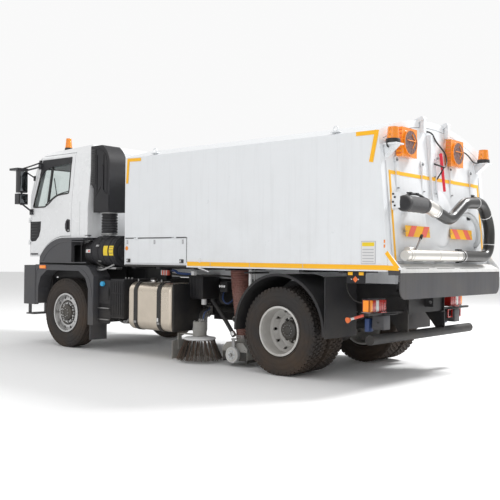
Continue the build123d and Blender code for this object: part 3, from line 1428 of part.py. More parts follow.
def suction_hose(side, hand):
    """Ribbed suction hose that narrows from the hopper's inlet to the nozzle's spout."""
    with BuildPart() as hose:
        low, high = nozzle_top_z + 50 + fit_gap, hopper_bottom_z - 8
        with BuildSketch(Plane.XY.offset(low)):
            with Locations((nozzle_x, side * nozzle_spout_y)):
                Circle(85)
        with BuildSketch(Plane.XY.offset(high)):
            with Locations((nozzle_x + 20, side * (nozzle_spout_y + 20))):
                Circle(150)
        loft()
    write(hose, f"suction_hose_{hand}")


if __name__ == "__main__":
    chassis_frame()
    engine_block()
    front_axle()
    rear_axle()
    leaf_springs()
    mudguard()
    bumper()
    headlamps()
    cab_shell()
    cab_glass()
    cab_interior()
    cab_trim()
    cab_beacon()
    snorkel()
    air_cleaner()
    side_boxes()
    fuel_tank()
    rear_fenders()
    underrun_bar()
    tail_lamps()
    hopper_body()
    tailgate()
    rear_apron()
    warning_lamps()
    wander_hose()
    hose_pipes()
    tipping_cylinder()
    for side, hand in sides:
        front_wheel(side, hand)
        rear_wheels(side, hand)
        knuckle(side, hand)
        door(side, hand)
        mirror_unit(side, hand)
        locker_door(side, hand)
        broom_arm(side, hand)
        nozzle(side, hand)
        suction_hose(side, hand)
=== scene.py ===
# Looks of the street sweeper truck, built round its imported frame. Metres: X forward, Y left, Z up.

import math
import random

import bmesh
import bpy
from mathutils import Matrix, Vector


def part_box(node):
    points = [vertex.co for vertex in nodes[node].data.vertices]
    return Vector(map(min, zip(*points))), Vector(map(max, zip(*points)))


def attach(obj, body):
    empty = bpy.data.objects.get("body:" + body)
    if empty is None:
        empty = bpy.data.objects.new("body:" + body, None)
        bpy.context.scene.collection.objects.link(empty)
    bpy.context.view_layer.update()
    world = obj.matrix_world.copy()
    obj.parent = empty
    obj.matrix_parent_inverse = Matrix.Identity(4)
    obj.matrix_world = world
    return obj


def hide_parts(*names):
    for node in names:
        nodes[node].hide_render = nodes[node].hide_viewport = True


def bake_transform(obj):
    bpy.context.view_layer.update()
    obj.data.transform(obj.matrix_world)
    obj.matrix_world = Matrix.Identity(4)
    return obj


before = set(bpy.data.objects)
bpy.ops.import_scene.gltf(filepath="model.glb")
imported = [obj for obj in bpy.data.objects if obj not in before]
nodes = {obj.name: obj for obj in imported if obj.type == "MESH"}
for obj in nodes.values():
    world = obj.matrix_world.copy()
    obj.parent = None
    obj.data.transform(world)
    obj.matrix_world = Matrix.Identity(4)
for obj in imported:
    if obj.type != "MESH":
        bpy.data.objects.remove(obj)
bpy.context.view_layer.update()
sides = ((1, "left"), (-1, "right"))
ahead, outward, up = Vector((1, 0, 0)), Vector((0, 1, 0)), Vector((0, 0, 1))

# Places shared with the frame
front_axle_x = 2.346
rear_axle_x = -1.814
hub_z = 0.522
rear_top_x = rear_axle_x - 1.346
rear_top_z = 2.95
rear_slope = 0.0874
hose_x = rear_axle_x - 1.6
apron_back_x = rear_axle_x - 1.64
cab_back_x = front_axle_x - 0.56
bumper_front_x = front_axle_x + 1.15


# Shader nodes


def add_node(tree, kind, inputs=None, **settings):
    """A shader node with its settings and inputs, each input a value or a socket to link."""
    made = tree.nodes.new("ShaderNode" + kind)
    for label, value in settings.items():
        setattr(made, label, value)
    for label, value in (inputs or {}).items():
        if isinstance(value, bpy.types.NodeSocket):
            tree.links.new(value, made.inputs[label])
        else:
            made.inputs[label].default_value = value
    return made


def object_point(tree, scale=(1, 1, 1)):
    """Object coordinates, stretched along the axes."""
    place = add_node(tree, "TexCoord").outputs["Object"]
    return add_node(tree, "Mapping", {"Vector": place, "Scale": scale}).outputs["Vector"]


def mix_colour(tree, share, first, second):
    """A colour mixed from two others."""
    return add_node(tree, "Mix", {0: share, 6: first, 7: second}, data_type="RGBA").outputs[2]


def maths(tree, operation, *values, clamp=False):
    """The result of a sum on numbers or sockets."""
    return add_node(tree, "Math", dict(enumerate(values)), operation=operation, use_clamp=clamp).outputs[0]


def noise(tree, point, scale, detail, roughness=0.5):
    """Soft uneven patches."""
    inputs = {"Vector": point, "Scale": scale, "Detail": detail, "Roughness": roughness}
    return add_node(tree, "TexNoise", inputs).outputs["Fac"]


def ridges(tree, scale, distortion, direction):
    """Parallel bands across an axis letter."""
    inputs = {"Vector": object_point(tree), "Scale": scale, "Distortion": distortion}
    return add_node(tree, "TexWave", inputs, bands_direction=direction).outputs["Fac"]


def remap(tree, value, low, high, to_low=0.0, to_high=1.0):
    """A value carried from one range to another."""
    inputs = {"Value": value, "From Min": low, "From Max": high, "To Min": to_low, "To Max": to_high}
    return add_node(tree, "MapRange", inputs).outputs["Result"]


def bump(tree, strength, distance, height):
    """The normal of a surface with this relief."""
    inputs = {"Strength": strength, "Distance": distance, "Height": height}
    return add_node(tree, "Bump", inputs).outputs["Normal"]


def start_group(name, inputs):
    """A shader group with its input sockets and their usual values: its tree and those sockets."""
    tree = bpy.data.node_groups.new(name, "ShaderNodeTree")
    for label, value in inputs.items():
        kind = {1: "Float", 3: "Vector", 4: "Color"}[len(value) if isinstance(value, tuple) else 1]
        socket = tree.interface.new_socket(label, in_out="INPUT", socket_type="NodeSocket" + kind)
        socket.default_value = value
    return tree, tree.nodes.new("NodeGroupInput").outputs


def end_group(tree, *outputs):
    """The group's tree with its outputs: a label, a kind of socket, and what feeds it."""
    for label, kind, source in outputs:
        tree.interface.new_socket(label, in_out="OUTPUT", socket_type="NodeSocket" + kind)
    result = tree.nodes.new("NodeGroupOutput")
    for label, kind, source in outputs:
        tree.links.new(source, result.inputs[label])
    return tree


def build_road_dust():
    """Dust that gathers in patches and towards the ground, over any base colour."""
    tree, given = start_group("road_dust", {"Colour": (0.5, 0.5, 0.5, 1), "Dust Colour": (0.3, 0.26, 0.2, 1),
                                            "Amount": 0.3, "Patch Scale": 3.0, "Clean Height": 1.6,
                                            "Share Above": 0.2})
    point = object_point(tree)
    height = add_node(tree, "SeparateXYZ", {"Vector": point}).outputs["Z"]
    low = remap(tree, height, given["Clean Height"], 0.0, given["Share Above"])
    patches = remap(tree, noise(tree, point, given["Patch Scale"], 6.0, 0.65), 0.36, 0.72)
    share = maths(tree, "MULTIPLY", maths(tree, "MULTIPLY", low, patches), given["Amount"], clamp=True)
    dusty = mix_colour(tree, share, given["Colour"], given["Dust Colour"])
    return end_group(tree, ("Colour", "Color", dusty), ("Dustiness", "Float", share))


def build_surface_grain():
    """Fine grain for a cast, moulded or painted surface: uneven gloss and a bump."""
    tree, given = start_group("surface_grain", {"Grain Scale": 200.0, "Depth": 0.1, "Roughness": 0.5,
                                                "Gloss Spread": 0.15, "Dustiness": 0.0, "Stretch": (1, 1, 1)})
    place = add_node(tree, "TexCoord").outputs["Object"]
    point = add_node(tree, "VectorMath", {0: place, 1: given["Stretch"]}, operation="MULTIPLY").outputs[0]
    fine = noise(tree, point, given["Grain Scale"], 3.0)
    uneven = maths(tree, "SUBTRACT", noise(tree, point, 4.0, 5.0), 0.5)
    gloss = maths(tree, "MULTIPLY_ADD", uneven, given["Gloss Spread"], given["Roughness"])
    dusty = maths(tree, "MULTIPLY_ADD", given["Dustiness"], 0.4, gloss, clamp=True)
    return end_group(tree, ("Roughness", "Float", dusty), ("Normal", "Vector",
                                                           bump(tree, given["Depth"], 0.002, fine)))


def build_rain_streaks():
    """Faint upright marks that water leaves on flat painted panels."""
    tree, given = start_group("rain_streaks", {"Colour": (0.8, 0.8, 0.8, 1),
                                               "Streak Colour": (0.4, 0.4, 0.4, 1), "Amount": 0.1})
    marks = remap(tree, noise(tree, object_point(tree, (9.0, 9.0, 0.5)), 2.0, 5.0, 0.6), 0.5, 0.78)
    share = maths(tree, "MULTIPLY", marks, given["Amount"], clamp=True)
    return end_group(tree, ("Colour", "Color", mix_colour(tree, share, given["Colour"],
                                                          given["Streak Colour"])))


road_dust = build_road_dust()
surface_grain = build_surface_grain()
rain_streaks = build_rain_streaks()


def start_finish(name, **shader_values):
    """A material with a plain shader: the material, its tree and its shader."""
    made = bpy.data.materials.new(name)
    made.use_nodes = True
    tree = made.node_tree
    tree.nodes.clear()
    values = {label.replace("_", " "): value for label, value in shader_values.items()}
    shader = add_node(tree, "BsdfPrincipled", values)
    add_node(tree, "OutputMaterial", {"Surface": shader.outputs["BSDF"]})
    return made, tree, shader


def feed(tree, shader, **sockets):
    """Links sockets to the shader's inputs of these names."""
    for label, source in sockets.items():
        tree.links.new(source, shader.inputs[label.replace("_", " ")])


def solid(colour, share=1.0):
    """A colour with full cover, darkened to a share."""
    return (*(share * part for part in colour), 1)


def coated(name, colour, rough, dust, grain=(220.0, 0.12), dust_colour=(0.2, 0.17, 0.13), clean=1.7,
           above=0.15,
           streaks=0.0, stretch=(1, 1, 1), spread=0.15, patch=3.0, **shader_values):
    """A painted, moulded, cast or metal finish with its own grain, dust and streaks."""
    made, tree, shader = start_finish(name, **shader_values)
    base = solid(colour)
    if streaks:
        inputs = {"Colour": base, "Streak Colour": solid(colour, 0.55), "Amount": streaks}
        base = add_node(tree, "Group", inputs, node_tree=rain_streaks).outputs["Colour"]
    inputs = {"Colour": base, "Dust Colour": solid(dust_colour), "Amount": dust, "Clean Height": clean,
              "Share Above": above, "Patch Scale": patch}
    dusty = add_node(tree, "Group", inputs, node_tree=road_dust).outputs
    inputs = {"Grain Scale": grain[0], "Depth": grain[1], "Roughness": rough, "Gloss Spread": spread,
              "Stretch": stretch, "Dustiness": dusty["Dustiness"]}
    grained = add_node(tree, "Group", inputs, node_tree=surface_grain).outputs
    feed(tree, shader, Base_Color=dusty["Colour"], Roughness=grained["Roughness"], Normal=grained["Normal"])
    return made


def woven(name, colour, thread):
    """Seat cloth: crossed threads that shade and lift."""
    made, tree, shader = start_finish(name, Sheen_Weight=0.3, Roughness=0.85)
    cross = maths(tree, "MULTIPLY", ridges(tree, thread, 0.6, "X"), ridges(tree, thread, 0.6, "Z"))
    feed(tree, shader, Base_Color=mix_colour(tree, cross, solid(colour, 0.5), solid(colour)),
         Normal=bump(tree, 0.4, 0.001, cross))
    return made


def clear_glass(name, tint, rough=0.02):
    """Tinted glass with a faint film of dust in its gloss."""
    made, tree, shader = start_finish(name, Base_Color=solid(tint), Transmission_Weight=1.0, IOR=1.35)
    film = noise(tree, object_point(tree), 7.0, 5.0)
    feed(tree, shader, Roughness=remap(tree, film, 0.4, 0.9, rough, rough + 0.12))
    return made


def lens(name, colour, glow=0.12):
    """A coloured lamp lens with fine upright ridges inside it."""
    made, tree, shader = start_finish(name, Roughness=0.18, Coat_Weight=0.6, Emission_Strength=glow,
                                      Emission_Color=solid(colour))
    lines = ridges(tree, 60.0, 0.0, "Y")
    feed(tree, shader, Base_Color=mix_colour(tree, lines, solid(colour, 0.55), solid(colour)),
         Normal=bump(tree, 0.25, 0.002, lines))
    return made


# Each finish: name, colour, roughness, share of dust

white_paint = coated("white_paint", (0.84, 0.85, 0.86), 0.26, 0.3, (60.0, 0.02), clean=1.9, above=0.1,
                     streaks=0.1, Coat_Weight=0.5, Coat_Roughness=0.1)
hopper_white = coated("hopper_white", (0.8, 0.82, 0.84), 0.3, 0.22, (40.0, 0.03), clean=2.2, above=0.12,
                      streaks=0.14, Coat_Weight=0.4, Coat_Roughness=0.15)
pale_grey = coated("pale_grey_paint", (0.6, 0.62, 0.63), 0.4, 0.3, streaks=0.2)
tape_yellow = coated("yellow_tape", (0.98, 0.5, 0.01), 0.35, 0.15, (500.0, 0.05))
tape_red = coated("red_tape", (0.9, 0.15, 0.1), 0.35, 0.12, (500.0, 0.05))
label_grey = coated("label_grey", (0.5, 0.5, 0.52), 0.5, 0.2)
label_yellow = coated("label_yellow", (0.85, 0.62, 0.02), 0.45, 0.2)
label_white = coated("label_white", (0.75, 0.75, 0.75), 0.45, 0.2)
black_frame = coated("black_frame_paint", (0.014, 0.014, 0.016), 0.5, 0.3, clean=1.1, Specular_IOR_Level=0.35)
cast_iron = coated("cast_iron", (0.022, 0.022, 0.023), 0.65, 0.45, (120.0, 0.4), clean=1.0, above=0.2)
dark_plastic = coated("dark_plastic", (0.026, 0.026, 0.029), 0.6, 0.22, (600.0, 0.15), clean=1.3,
                      Specular_IOR_Level=0.3)
grey_trim = coated("grey_trim", (0.062, 0.063, 0.07), 0.5, 0.3, (600.0, 0.2), clean=1.2, above=0.25)
tyre_rubber = coated("tyre_rubber", (0.022, 0.019, 0.018), 0.72, 0.75, (160.0, 0.2), (0.1, 0.066, 0.042),
                     clean=1.3, above=0.35, patch=2.0)
rim_silver = coated("rim_silver", (0.62, 0.62, 0.62), 0.28, 0.35, (200.0, 0.05), Metallic=0.8)
rim_white = coated("rim_pale_paint", (0.58, 0.57, 0.55), 0.36, 0.5, clean=1.1, above=0.4)
hub_dark = coated("hub_dark_paint", (0.045, 0.044, 0.043), 0.5, 0.4, above=0.3)
chrome = coated("chrome", (0.7, 0.7, 0.7), 0.14, 0.2, (100.0, 0.02), Metallic=1.0)
tank_aluminium = coated("tank_aluminium", (0.7, 0.62, 0.52), 0.27, 0.3, (70.0, 0.12), clean=1.2, above=0.3,
                        stretch=(1, 1, 0.06), spread=0.2, Metallic=0.9)
bright_aluminium = coated("bright_aluminium", (0.72, 0.7, 0.66), 0.33, 0.15, (90.0, 0.08),
                          stretch=(1, 0.08, 1), Metallic=0.85)
apron_steel = coated("apron_steel", (0.066, 0.066, 0.072), 0.42, 0.3, (30.0, 0.12), clean=1.6, above=0.5,
                     streaks=0.5, stretch=(1, 1, 0.1), spread=0.35, Metallic=0.5)
ledge_grey = coated("ledge_grey_paint", (0.66, 0.66, 0.65), 0.45, 0.3, above=0.4, streaks=0.2)
hose_rubber = coated("hose_rubber", (0.018, 0.018, 0.018), 0.3, 0.12, (45.0, 0.3), above=0.5)
sleeve_cloth = woven("hose_sleeve", (0.035, 0.035, 0.038), 34.0)
suction_rubber = coated("suction_rubber", (0.19, 0.075, 0.06), 0.5, 0.6, (150.0, 0.1), (0.26, 0.2, 0.17),
                        above=0.3)
bristle_dark = coated("bristle_dark", (0.035, 0.033, 0.032), 0.6, 0.4, (90.0, 0.3), above=0.4)
bristle_worn = coated("bristle_worn", (0.16, 0.13, 0.11), 0.7, 0.6, (90.0, 0.3), above=0.4)
bristle_rust = coated("bristle_rust", (0.11, 0.055, 0.035), 0.8, 0.3, (90.0, 0.3), above=0.4)
grey_steel = coated("grey_steel_paint", (0.32, 0.315, 0.3), 0.5, 0.85, clean=1.0, above=0.3)
mirror_black = coated("mirror_black", (0.03, 0.03, 0.034), 0.3, 0.1)
mirror_glass = coated("mirror_glass", (0.16, 0.17, 0.18), 0.05, 0.05, (40.0, 0.0), Metallic=1.0)
lamp_glass = clear_glass("lamp_glass", (0.92, 0.94, 0.95))
cab_glass = clear_glass("cab_glass", (0.92, 0.97, 0.96))
seat_cloth = woven("seat_cloth", (0.1, 0.1, 0.12), 60.0)
amber_lens = lens("amber_lens", (1.0, 0.3, 0.01))
red_lens = lens("red_lens", (0.5, 0.02, 0.015), 0.03)
white_lens = lens("white_lens", (0.75, 0.78, 0.75), 0.02)
lamp_mesh = coated("lamp_mesh", (0.21, 0.125, 0.115), 0.6, 0.1, (400.0, 0.6))
red_paint = coated("red_paint", (0.75, 0.02, 0.05), 0.35, 0.1)
blue_plastic = coated("blue_plastic", (0.02, 0.06, 0.2), 0.4, 0.35)
cap_blue = coated("cap_blue", (0.05, 0.42, 0.75), 0.4, 0.1)
orange_plastic = coated("orange_plastic", (0.85, 0.18, 0.04), 0.4, 0.15)
black_rubber = coated("black_rubber", (0.02, 0.02, 0.02), 0.6, 0.3)
black_plastic = coated("black_plastic", (0.02, 0.02, 0.022), 0.4, 0.25)
steel_dull = coated("dull_steel", (0.4, 0.4, 0.4), 0.35, 0.4, Metallic=0.9)
pale_floor = coated("pale_floor", (0.93, 0.93, 0.93), 0.7, 0.0, (30.0, 0.02), clean=0.1)


# Meshes


def to_axis(axis):
    """A turn that carries Z to an axis."""
    return Vector(axis).to_track_quat("Z", "Y").to_matrix().to_4x4()


def facing(axis_x, axis_y, origin):
    """A place whose X and Y run along these directions, from an origin."""
    x, y = Vector(axis_x).normalized(), Vector(axis_y).normalized()
    return Matrix.Translation(origin) @ Matrix((x, y, x.cross(y))).transposed().to_4x4()


def about(axis, degrees):
    """A turn about an axis letter, in degrees."""
    return Matrix.Rotation(math.radians(degrees), 3, axis)


def round_point(centre, reach, turn, flat=False):
    """A point on a circle about a centre: upright along the truck, or flat."""
    off = (math.cos(turn), math.sin(turn), 0) if flat else (math.cos(turn), 0, math.sin(turn))
    return Vector(centre) + reach * Vector(off)


def soften(part, edges, bevel):
    """Rounds these edges."""
    bmesh.ops.bevel(part, geom=edges, offset=bevel, segments=2, affect="EDGES", profile=0.5, material=-1)


class Shape:
    """Collects solid parts, each with its finish, into one mesh. Y is given for the left side."""

    def __init__(self, side=1):
        self.mesh = bmesh.new()
        self.finishes = []
        self.side = side

    def at(self, place):
        """A place or direction, carried to this shape's side of the truck."""
        return Vector((place[0], self.side * place[1], place[2]))

    def both_sides(self):
        """Sets the left side, then the right, and goes back to the left."""
        for self.side in (1, -1):
            yield
        self.side = 1

    def take(self, part, finish, place=None):
        """Adds a part, moved to its place, and empties it."""
        if finish not in self.finishes:
            self.finishes.append(finish)
        if place is not None:
            part.transform(place)
        bmesh.ops.recalc_face_normals(part, faces=part.faces)
        for face in part.faces:
            face.material_index = self.finishes.index(finish)
        held = bpy.data.meshes.new("part")
        part.to_mesh(held)
        part.free()
        self.mesh.from_mesh(held)
        bpy.data.meshes.remove(held)

    def block(self, centre, size, finish, bevel=0.0, turn=None, taper=None):
        """A box with rounded edges, turned about its own centre; taper narrows its top in X and Y."""
        part = bmesh.new()
        bmesh.ops.create_cube(part, size=1.0)
        if taper:
            top = [vert for vert in part.verts if vert.co.z > 0]
            bmesh.ops.scale(part, vec=(taper[0], taper[1], 1), verts=top)
        bmesh.ops.scale(part, vec=size, verts=part.verts)
        if bevel:
            soften(part, part.edges, bevel)
        place = Matrix.Translation(self.at(centre))
        self.take(part, finish, place @ turn.to_4x4() if turn else place)

    def blocks(self, finish, bevel, *rows):
        """Boxes of one finish, each with its centre and its size in one row."""
        for row in rows:
            self.block(row[:3], row[3:], finish, bevel)

    def rod(self, start, end, radius, finish, sides=16, end_radius=None, bevel=0.0):
        """A round bar or cone between two points."""
        start, end = self.at(start), self.at(end)
        part = bmesh.new()
        bmesh.ops.create_cone(part, cap_ends=True, segments=sides, radius1=radius, radius2=radius
                              if end_radius is None else end_radius, depth=(end - start).length)
        if bevel:
            soften(part, [edge for edge in part.edges if abs(edge.verts[0].co.z - edge.verts[1].co.z) < 1e-6],
                   bevel)
        self.take(part, finish, Matrix.Translation((start + end) / 2) @ to_axis(end - start))

    def pin(self, start, run, radius, finish, sides=16, **settings):
        """A round bar from a point, as long as its run."""
        self.rod(start, Vector(start) + Vector(run), radius, finish, sides, **settings)

    def turned(self, outline, centre, axis, finish, steps=48, closed=False):
        """Spins (radius, along) points about an axis through a centre."""
        part = bmesh.new()
        verts = [part.verts.new((radius, 0, along)) for radius, along in outline]
        edges = [part.edges.new(pair) for pair in zip(verts, verts[1:])]
        if closed:
            edges.append(part.edges.new((verts[-1], verts[0])))
        bmesh.ops.spin(part, geom=verts + edges, axis=(0, 0, 1), cent=(0, 0, 0), angle=math.tau, steps=steps,
                       use_merge=True)
        bmesh.ops.remove_doubles(part, verts=part.verts, dist=1e-5)
        self.take(part, finish, Matrix.Translation(self.at(centre)) @ to_axis(self.at(axis)))

    def ring(self, inner, outer, half, centre, axis, finish, steps=44):
        """A square-edged ring that reaches half its width to each side of its centre."""
        outline = ((inner, -half), (outer, -half), (outer, half), (inner, half))
        self.turned(outline, centre, axis, finish, steps, closed=True)

    def plate(self, outline, thickness, place, finish, bevel=0.0):
        """A flat outline of (x, y) points raised along Z, then put in its place."""
        part = bmesh.new()
        face = part.faces.new([part.verts.new((x, y, 0)) for x, y in outline])
        raised = bmesh.ops.extrude_face_region(part, geom=[face])
        top = [item for item in raised["geom"] if isinstance(item, bmesh.types.BMVert)]
        bmesh.ops.translate(part, vec=(0, 0, thickness), verts=top)
        if bevel:
            soften(part, [edge for edge in part.edges if min(vert.co.z for vert in edge.verts) > 0], bevel)
        self.take(part, finish, place)

    def flank(self, corners, y, thickness, finish, bevel=0.0):
        """A flat plate that stands out from an upright plane at this side, from its (x, z) corners."""
        origin = (0, self.side * y + (thickness if self.side > 0 else 0), 0)
        self.plate(corners, thickness, facing(ahead, up, origin), finish, bevel)

    def hose(self, points, radius, finish, sides=10, closed=False):
        """A round hose or bar along a smooth line near these points."""
        curve = bpy.data.curves.new("run", "CURVE")
        curve.dimensions = "3D"
        curve.bevel_depth = radius
        curve.bevel_resolution = max(1, sides // 4)
        curve.use_fill_caps = True
        line = curve.splines.new("NURBS")
        line.points.add(len(points) - 1)
        for point, place in zip(line.points, points):
            point.co = (*self.at(place), 1)
        line.order_u = 3
        line.use_cyclic_u = closed
        line.use_endpoint_u = not closed
        line.resolution_u = 5
        holder = bpy.data.objects.new("run", curve)
        made = bpy.data.meshes.new_from_object(holder)
        part = bmesh.new()
        part.from_mesh(made)
        bmesh.ops.remove_doubles(part, verts=part.verts, dist=1e-5)
        bpy.data.objects.remove(holder)
        bpy.data.curves.remove(curve)
        bpy.data.meshes.remove(made)
        self.take(part, finish)

    def piece(self, name, body, sharp=38, stands_for=()):
        """The finished object, riding on its body."""
        mesh = bpy.data.meshes.new(name)
        self.mesh.to_mesh(mesh)
        self.mesh.free()
        for finish in self.finishes:
            mesh.materials.append(finish)
        mesh.polygons.foreach_set("use_smooth", [True] * len(mesh.polygons))
        mesh.set_sharp_from_angle(angle=math.radians(sharp))
        made = bpy.data.objects.new(name, mesh)
        bpy.context.scene.collection.objects.link(made)
        if body:
            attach(made, body)
        if stands_for:
            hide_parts(*stands_for)
        return made


# Finishes of the frame's own nodes

node_finishes = (
    (white_paint, "cab_shell door_left door_right"),
    (hopper_white, "hopper_body tailgate locker_door_left locker_door_right"),
    (black_frame, "chassis_frame underrun_bar cylinder_barrel"),
    (cast_iron, "engine_block front_axle rear_axle leaf_springs knuckle_left knuckle_right"),
    (grey_trim, "front_mudguards bumper cab_trim"),
    (dark_plastic, "air_cleaner side_boxes rear_fenders snorkel"),
    (black_rubber, "tank_straps"),
    (tank_aluminium, "fuel_tank"),
    (lamp_glass, "headlamps"),
    (red_lens, "tail_lamps"),
    (amber_lens, "cab_beacon warning_lamps"),
    (cab_glass, "windscreen door_glass_left door_glass_right"),
    (seat_cloth, "cab_interior"),
    (apron_steel, "rear_apron"),
    (hose_rubber, "wander_hose"),
    (bright_aluminium, "hose_pipes"),
    (chrome, "cylinder_rod"),
    (mirror_black, "mirrors_left mirrors_right"),
    (rim_silver, "rim_front_left rim_front_right"),
    (rim_white, "rims_rear_left rims_rear_right nozzle_wheel_left nozzle_wheel_right"),
    (grey_steel, "broom_arm_left broom_arm_right nozzle_left nozzle_right"),
    (bristle_dark, "brush_left brush_right"),
    (suction_rubber, "suction_hose_left suction_hose_right"),
    (tyre_rubber, "tyre_front_left tyre_front_right tyres_rear_left tyres_rear_right"))
for finish, members in node_finishes:
    for member in members.split():
        nodes[member].data.materials.clear()
        nodes[member].data.materials.append(finish)


# Tyres and wheels

tyre_r = 0.522
tyre_w = 0.292
bead_r = 0.3
block_count = 54
block_rows = (-0.108, -0.054, 0.0, 0.054, 0.108)


def tyre_outline(grooves, tread_r):
    """Closed (radius, along) outline of a tyre, with grooves at these places."""
    edge = ((bead_r, 0.036), (0.306, 0.02), (0.318, 0.012), (0.326, 0.016), (0.345, 0.006), (0.395, 0),
            (0.403, 0.003), (0.411, 0), (0.452, 0.003), (0.456, 0.0065), (0.47, 0.0065), (0.474, 0.005),
            (0.497, 0.011), (0.506, 0.014), (tread_r - 0.001, 0.024))
    wall = [(radius, inset - tyre_w / 2) for radius, inset in edge]
    tread = []
    for place in grooves:
        for depth, along in ((0, -0.006), (0.012, -0.0035), (0.012, 0.0035), (0, 0.006)):
            tread.append((tread_r - depth, place + along))
    return wall + tread + [(radius, -along) for radius, along in reversed(wall)]


def tread_blocks(shape, axle, base_r):
    """Rows of chunky blocks round the tyre, every other row half a step on."""
    step = math.tau / block_count
    for row, along in enumerate(block_rows):
        part = bmesh.new()
        bmesh.ops.create_cube(part, size=1.0)
        outer = [vert for vert in part.verts if vert.co.x > 0]
        bmesh.ops.scale(part, vec=(1, 0.86, 0.9), verts=outer)
        width = 0.046 if abs(along) < 0.1 else 0.05
        bmesh.ops.scale(part, vec=(tyre_r - base_r + 0.001, 0.046, width), verts=part.verts)
        skew = Matrix.Rotation(math.radians(12 if row % 2 else -12), 4, "X")
        bmesh.ops.transform(part, matrix=skew, verts=part.verts)
        bmesh.ops.translate(part, vec=((tyre_r + base_r - 0.003) / 2, 0, along), verts=part.verts)
        bmesh.ops.rotate(part, matrix=Matrix.Rotation(step / 2 * (row % 2), 3, "Z"), verts=part.verts)
        bmesh.ops.spin(part, geom=part.verts[:] + part.edges[:] + part.faces[:], axis=(0, 0, 1),
                       cent=(0, 0, 0), angle=math.tau - step, steps=block_count - 1, use_duplicate=True)
        shape.take(part, tyre_rubber, Matrix.Translation(shape.at(axle)) @ to_axis(outward))


def wall_marks(shape, axle):
    """Small raised bars round a tyre's outer wall."""
    for step in range(48):
        angle = math.tau * step / 48
        place = round_point(axle, 0.486, angle) + (tyre_w / 2 - 0.008) * outward
        shape.block(place, (0.026, 0.01, 0.012), tyre_rubber, turn=about("Y", -math.degrees(angle)))


def wheel_nuts(shape, centre, finish):
    """Hexagon nuts with their studs in a circle."""
    for step in range(10):
        place = round_point(centre, 0.143, math.tau * step / 10 + math.radians(18))
        shape.pin(place, 0.006 * outward, 0.022, finish)
        shape.pin(place + 0.006 * outward, 0.02 * outward, 0.0195, finish, 6, end_radius=0.0175)
        shape.pin(place + 0.026 * outward, 0.012 * outward, 0.0095, finish, 12, bevel=0.002)


def bolt_circle(shape, centre, reach, count, height, radius, finish, flat=False, first=0.0):
    """Hexagon heads in a circle, upright and facing outwards, or flat and facing up."""
    for step in range(count):
        place = round_point(centre, reach, math.tau * (step + first) / count, flat)
        shape.pin(place, height * (up if flat else outward), radius, finish, 6)


def valve(shape, axle_x, degrees, y, out, end_reach, end_y, reach):
    """A valve's stem, from a wheel's dish outwards."""
    turn = math.radians(degrees)
    root = round_point((axle_x, y, hub_z), reach, turn)
    shape.hose((root, root + out * outward, round_point((axle_x, end_y, hub_z), end_reach, turn)), 0.004,
               chrome, 8)


for side, hand in sides:
    shape = Shape(side)
    axle = (front_axle_x, 1.044, hub_z)
    shape.turned(tyre_outline((-0.084, -0.028, 0.028, 0.084), tyre_r), axle, outward, tyre_rubber, 96,
                 closed=True)
    wall_marks(shape, axle)
    shape.piece("tyre_tread_front_" + hand, "wheel_front_" + hand, stands_for=("tyre_front_" + hand,))

    shape = Shape(side)
    for y in (1.071, 0.737):
        axle = (rear_axle_x, y, hub_z)
        shape.turned(tyre_outline((), 0.509), axle, outward, tyre_rubber, 96, closed=True)
        tread_blocks(shape, axle, 0.508)
        wall_marks(shape, axle)
    shape.piece("tyre_tread_rear_" + hand, "wheels_rear_" + hand, stands_for=("tyres_rear_" + hand,))

for side, hand in sides:
    shape = Shape(side)
    wheel_nuts(shape, (front_axle_x, 1.112, hub_z), chrome)
    bolt_circle(shape, (front_axle_x, 1.172, hub_z), 0.062, 8, 0.008, 0.006, chrome)
    # Hub cap, a ring round it, the dark dish and the hub's side
    for y, closed, steps, outline in (
            (1.169, False, 40, ((0, 0.0), (0.052, 0.0), (0.06, 0.006), (0.066, 0.008), (0.072, 0.004),
                                (0.076, -0.004), (0.06, -0.01), (0, -0.01))),
            (1.11, True, 48, ((0.112, 0), (0.124, 0.002), (0.124, 0.006), (0.112, 0.008))),
            (1.044, True, 48, ((0.122, 0.0675), (0.166, 0.0715), (0.187, 0.0905), (0.187, 0.0885),
                               (0.166, 0.069), (0.122, 0.065))),
            (1.044, True, 48, ((0.1215, 0.068), (0.1135, 0.1135), (0.0715, 0.1255), (0.0715, 0.1235),
                               (0.1115, 0.1115), (0.1195, 0.066)))):
        shape.turned(outline, (front_axle_x, y, hub_z), outward, hub_dark, steps, closed)
    valve(shape, front_axle_x, 50, 1.126, 0.03, 0.25, 1.166, 0.205)
    shape.piece("wheel_nuts_front_" + hand, "wheel_front_" + hand)

    shape = Shape(side)
    wheel_nuts(shape, (rear_axle_x, 0.916, hub_z), hub_dark)
    bolt_circle(shape, (rear_axle_x, 1.031, hub_z), 0.064, 12, 0.009, 0.006, steel_dull)
    # Disc, hub cap, a ring round the hub, and the hub's side
    for y, closed, steps, outline in (
            (0.918, False, 48, ((0, 0.004), (0.116, 0.004), (0.118, 0), (0.118, -0.006), (0, -0.006))),
            (1.033, False, 40, ((0, 0.012), (0.04, 0.012), (0.052, 0.006), (0.055, 0), (0.055, -0.01),
                                (0, -0.01))),
            (0.917, True, 48, ((0.114, 0), (0.12, 0.0), (0.12, 0.012), (0.114, 0.012))),
            (0.904, True, 48, ((0.1195, 0.013), (0.1075, 0.1135), (0.0745, 0.1295), (0.054, 0.1295),
                               (0.054, 0.1275), (0.0735, 0.1275), (0.1055, 0.1115), (0.1175, 0.011)))):
        shape.turned(outline, (rear_axle_x, y, hub_z), outward, hub_dark, steps, closed)
    valve(shape, rear_axle_x, 110, 0.925, 0.12, 0.225, 1.15, 0.2)
    shape.piece("wheel_nuts_rear_" + hand, "wheels_rear_" + hand)


# Side brooms

broom_x = -0.284
broom_y = 0.95
bunch_count = 40
strands_each = 16


